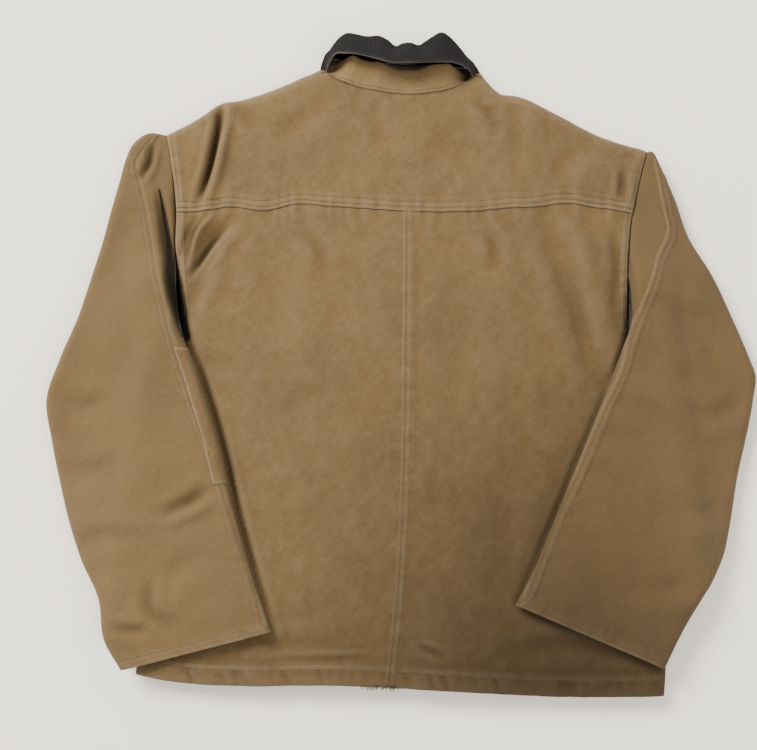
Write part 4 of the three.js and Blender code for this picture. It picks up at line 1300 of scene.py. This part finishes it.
# The lines with their repeats on them, as one plain mesh
def bake(name, runs, tree, ids, sizes):
    source = curveFrom(name + "Lines", runs)
    modifier = source.modifiers.new("repeat", "NODES")
    modifier.node_group = tree
    for label, value in sizes.items():
        modifier[ids[label]] = value
    bpy.context.view_layer.update()
    graph = bpy.context.evaluated_depsgraph_get()
    mesh = bpy.data.meshes.new_from_object(source.evaluated_get(graph), depsgraph=graph)
    source.modifiers.remove(modifier)
    bpy.data.objects.remove(source)
    place = np.empty(len(mesh.vertices) * 3, np.float32)
    mesh.vertices.foreach_get("co", place)
    # the threads take the painted corner shadow too
    addAttribute(mesh, "tone", paintedCornerShadow(place.reshape(-1, 3) * 1000 - shift))
    obj = bpy.data.objects.new(name, mesh)
    scene.collection.objects.link(obj)
    return obj


# What is left of a line after its first stretch
def partWay(run, distance):
    out, walked = [], 0.0
    for a, b in zip(run[:-1], run[1:]):
        length = (b - a).length
        if walked + length > distance:
            if not out:
                out.append(a.lerp(b, (distance - walked) / max(length, 1e-9)))
            out.append(b)
        walked += length
    return out


# dark beads between the stitches stand for the needle holes, painted as shade
rowTrees = {"stitch": stitchTree("seamStitches", "thread"), "hole": stitchTree("needleHoles", "hole")}
holeSizes = {"Pitch": stitchSizes["Pitch"], "Stitch length": 0.0012, "Thread width": 0.0010, "Seed": 11}
for owner, name in (("jacket", "body"), ("sleeve_left", "sleeveLeft"), ("sleeve_right", "sleeveRight")):
    runs = threadLines[owner]
    middle = [r for r in (partWay(run, stitchSizes["Pitch"] / 2) for run in runs) if len(r) > 2]
    layers = (("Stitches", runs, "stitch", stitchSizes), ("Holes", middle, "hole", holeSizes))
    for label, lines, key, sizes in layers:
        obj = bake(name + label, lines, *rowTrees[key], sizes)
        if owner == "jacket":
            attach(obj, "jacket")
        else:
            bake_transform(obj)
print("stitches")

fraySizes = {"Thread radius": 0.00034, "Tangle": 0.0016, "Seed": 5}
tree, ids, given, out = newTree("frayedThreads", fraySizes)
spread = tree.nodes.new("GeometryNodeResampleCurve")
spread.inputs["Count"].default_value = 7
tree.links.new(given.outputs["Geometry"], spread.inputs["Curve"])
wander, move = tree.nodes.new("FunctionNodeRandomValue"), tree.nodes.new("GeometryNodeSetPosition")
wander.data_type = "FLOAT_VECTOR"
wander.inputs[0].default_value, wander.inputs[1].default_value = (-0.5, -0.5, -0.2), (0.5, 0.5, 0.4)
tree.links.new(given.outputs["Seed"], wander.inputs["Seed"])
scaled = tree.nodes.new("ShaderNodeVectorMath")
scaled.operation = "SCALE"
tree.links.new(wander.outputs[0], scaled.inputs[0])
tree.links.new(given.outputs["Tangle"], scaled.inputs["Scale"])
tree.links.new(spread.outputs[0], move.inputs["Geometry"])
tree.links.new(scaled.outputs[0], move.inputs["Offset"])
profile, tube = tree.nodes.new("GeometryNodeCurvePrimitiveCircle"), tree.nodes.new("GeometryNodeCurveToMesh")
profile.inputs["Resolution"].default_value = 5
tree.links.new(given.outputs["Thread radius"], profile.inputs["Radius"])
tree.links.new(move.outputs[0], tube.inputs["Curve"])
tree.links.new(profile.outputs[0], tube.inputs["Profile Curve"])
tube.inputs["Fill Caps"].default_value = True
lastSteps(tree, tube.outputs[0], "fray", out)
wild = np.random.default_rng(19)
runs = []
for low, high, count in ((-47, -27, 26), (-24, -3, 30)):
    for x in wild.uniform(low, high, count):
        y, z = pattern["hem"](x) + 1.0, wild.uniform(13, 19)
        way, length = wild.uniform(-1.9, -1.2) + wild.normal(0, 0.25), wild.uniform(2, 7.5)
        strand = [(x + length * t * math.cos(way), y + length * t * math.sin(way), z - 4 * t * t)
                  for t in np.linspace(0, 1, 4)]
        runs.append([tuple((np.array(point) + shift) * 0.001) for point in strand])
obj = bake("hemFray", runs, tree, ids, fraySizes)
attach(obj, "jacket")

toothSizes = {"Pitch": fastener["pitch"] * 0.001, "Tooth reach": 0.0019, "Tooth height": 0.0028,
              "Tooth width": 0.0013, "Seed": 3}
tree, ids, given, out = newTree("zipTeethRow", toothSizes)
block = tree.nodes.new("GeometryNodeMeshCube")
tree.links.new(vectorOf(tree, given.outputs["Tooth width"], given.outputs["Tooth reach"],
                        given.outputs["Tooth height"]), block.inputs["Size"])
instanceAlong(tree, given, block.outputs[0], ((0.98, 0.98, 0.98), (1.02, 1.02, 1.02)), "brass", out)
for side, sign, start in (("left", -1, 0.0), ("right", 1, 1.3)):
    run = [((zipX + sign * 1.7 + shift[0]) * 0.001, (y + shift[1]) * 0.001, fastener["z"] * 0.001)
           for y in np.linspace(fastener["low"] + 1 + start, fastener["high"] - 5, 40)]
    obj = bake("zipTeeth" + side.capitalize(), [run], tree, ids, toothSizes)
    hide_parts("zipper_teeth_" + side)
    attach(obj, "jacket")
for node in ("zipper_slider", "zipper_puller", "zipper_box", "zipper_pin", "zipper_top_stop_left",
             "zipper_top_stop_right"):
    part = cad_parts[node]
    part.data.materials.clear()
    part.data.materials.append(looks["brass"])
print("zip fastener")

# Floor, light, camera
floorMaterial, tree, shader = newMaterial("paleFloor", 0.8)
place = tree.nodes.new("ShaderNodeTexCoord").outputs["Object"]
cloud = noiseNode(tree, place, 2.0, 2, 0.5)
paleStops = [(0.3, (0.945, 0.885, 0.775)), (0.7, (0.96, 0.905, 0.80))]
tree.links.new(rampNode(tree, cloud, paleStops), shader.inputs["Base Color"])
floorMesh = bpy.data.meshes.new("floor")
floorMesh.from_pydata([(-6, -6, 0), (6, -6, 0), (6, 6, 0), (-6, 6, 0)], [], [(0, 1, 2, 3)])
floorMesh.materials.append(floorMaterial)
floor = bpy.data.objects.new("floor", floorMesh)
scene.collection.objects.link(floor)


def areaLight(name, place, target, size, power, colour):
    light = bpy.data.lights.new(name, "AREA")
    light.shape, light.size, light.energy, light.color = "DISK", size, power, colour
    obj = bpy.data.objects.new(name, light)
    obj.location = place
    obj.rotation_euler = (Vector(target) - Vector(place)).to_track_quat("-Z", "Y").to_euler()
    scene.collection.objects.link(obj)


areaLight("keyLight", (-2.3, 2.2, 2.7), (0.0, 0.0, 0.0), 2.0, 360, (1.0, 0.98, 0.95))
areaLight("fillLight", (1.8, -1.4, 2.4), (0.0, 0.0, 0.0), 2.6, 60, (1.0, 0.99, 0.97))
world = scene.world or bpy.data.worlds.new("studio")
scene.world = world
world.use_nodes = True
world.node_tree.nodes["Background"].inputs["Color"].default_value = (1.0, 0.985, 0.96, 1)
world.node_tree.nodes["Background"].inputs["Strength"].default_value = 0.95

view = {"target": (-0.0282, -0.0294, 0.020), "elevation": 82.0, "distance": 1.300, "lens": 51.5}
camera = bpy.data.objects.new("camera", bpy.data.cameras.new("camera"))
camera.data.lens, camera.data.sensor_width = view["lens"], 36.0
camera.data.clip_start = 0.01
tilt = math.radians(view["elevation"])
camera.location = Vector(view["target"]) + Vector((0, -math.cos(tilt), math.sin(tilt))) * view["distance"]
camera.rotation_euler = (math.pi / 2 - tilt, 0, 0)
scene.collection.objects.link(camera)
scene.camera = camera
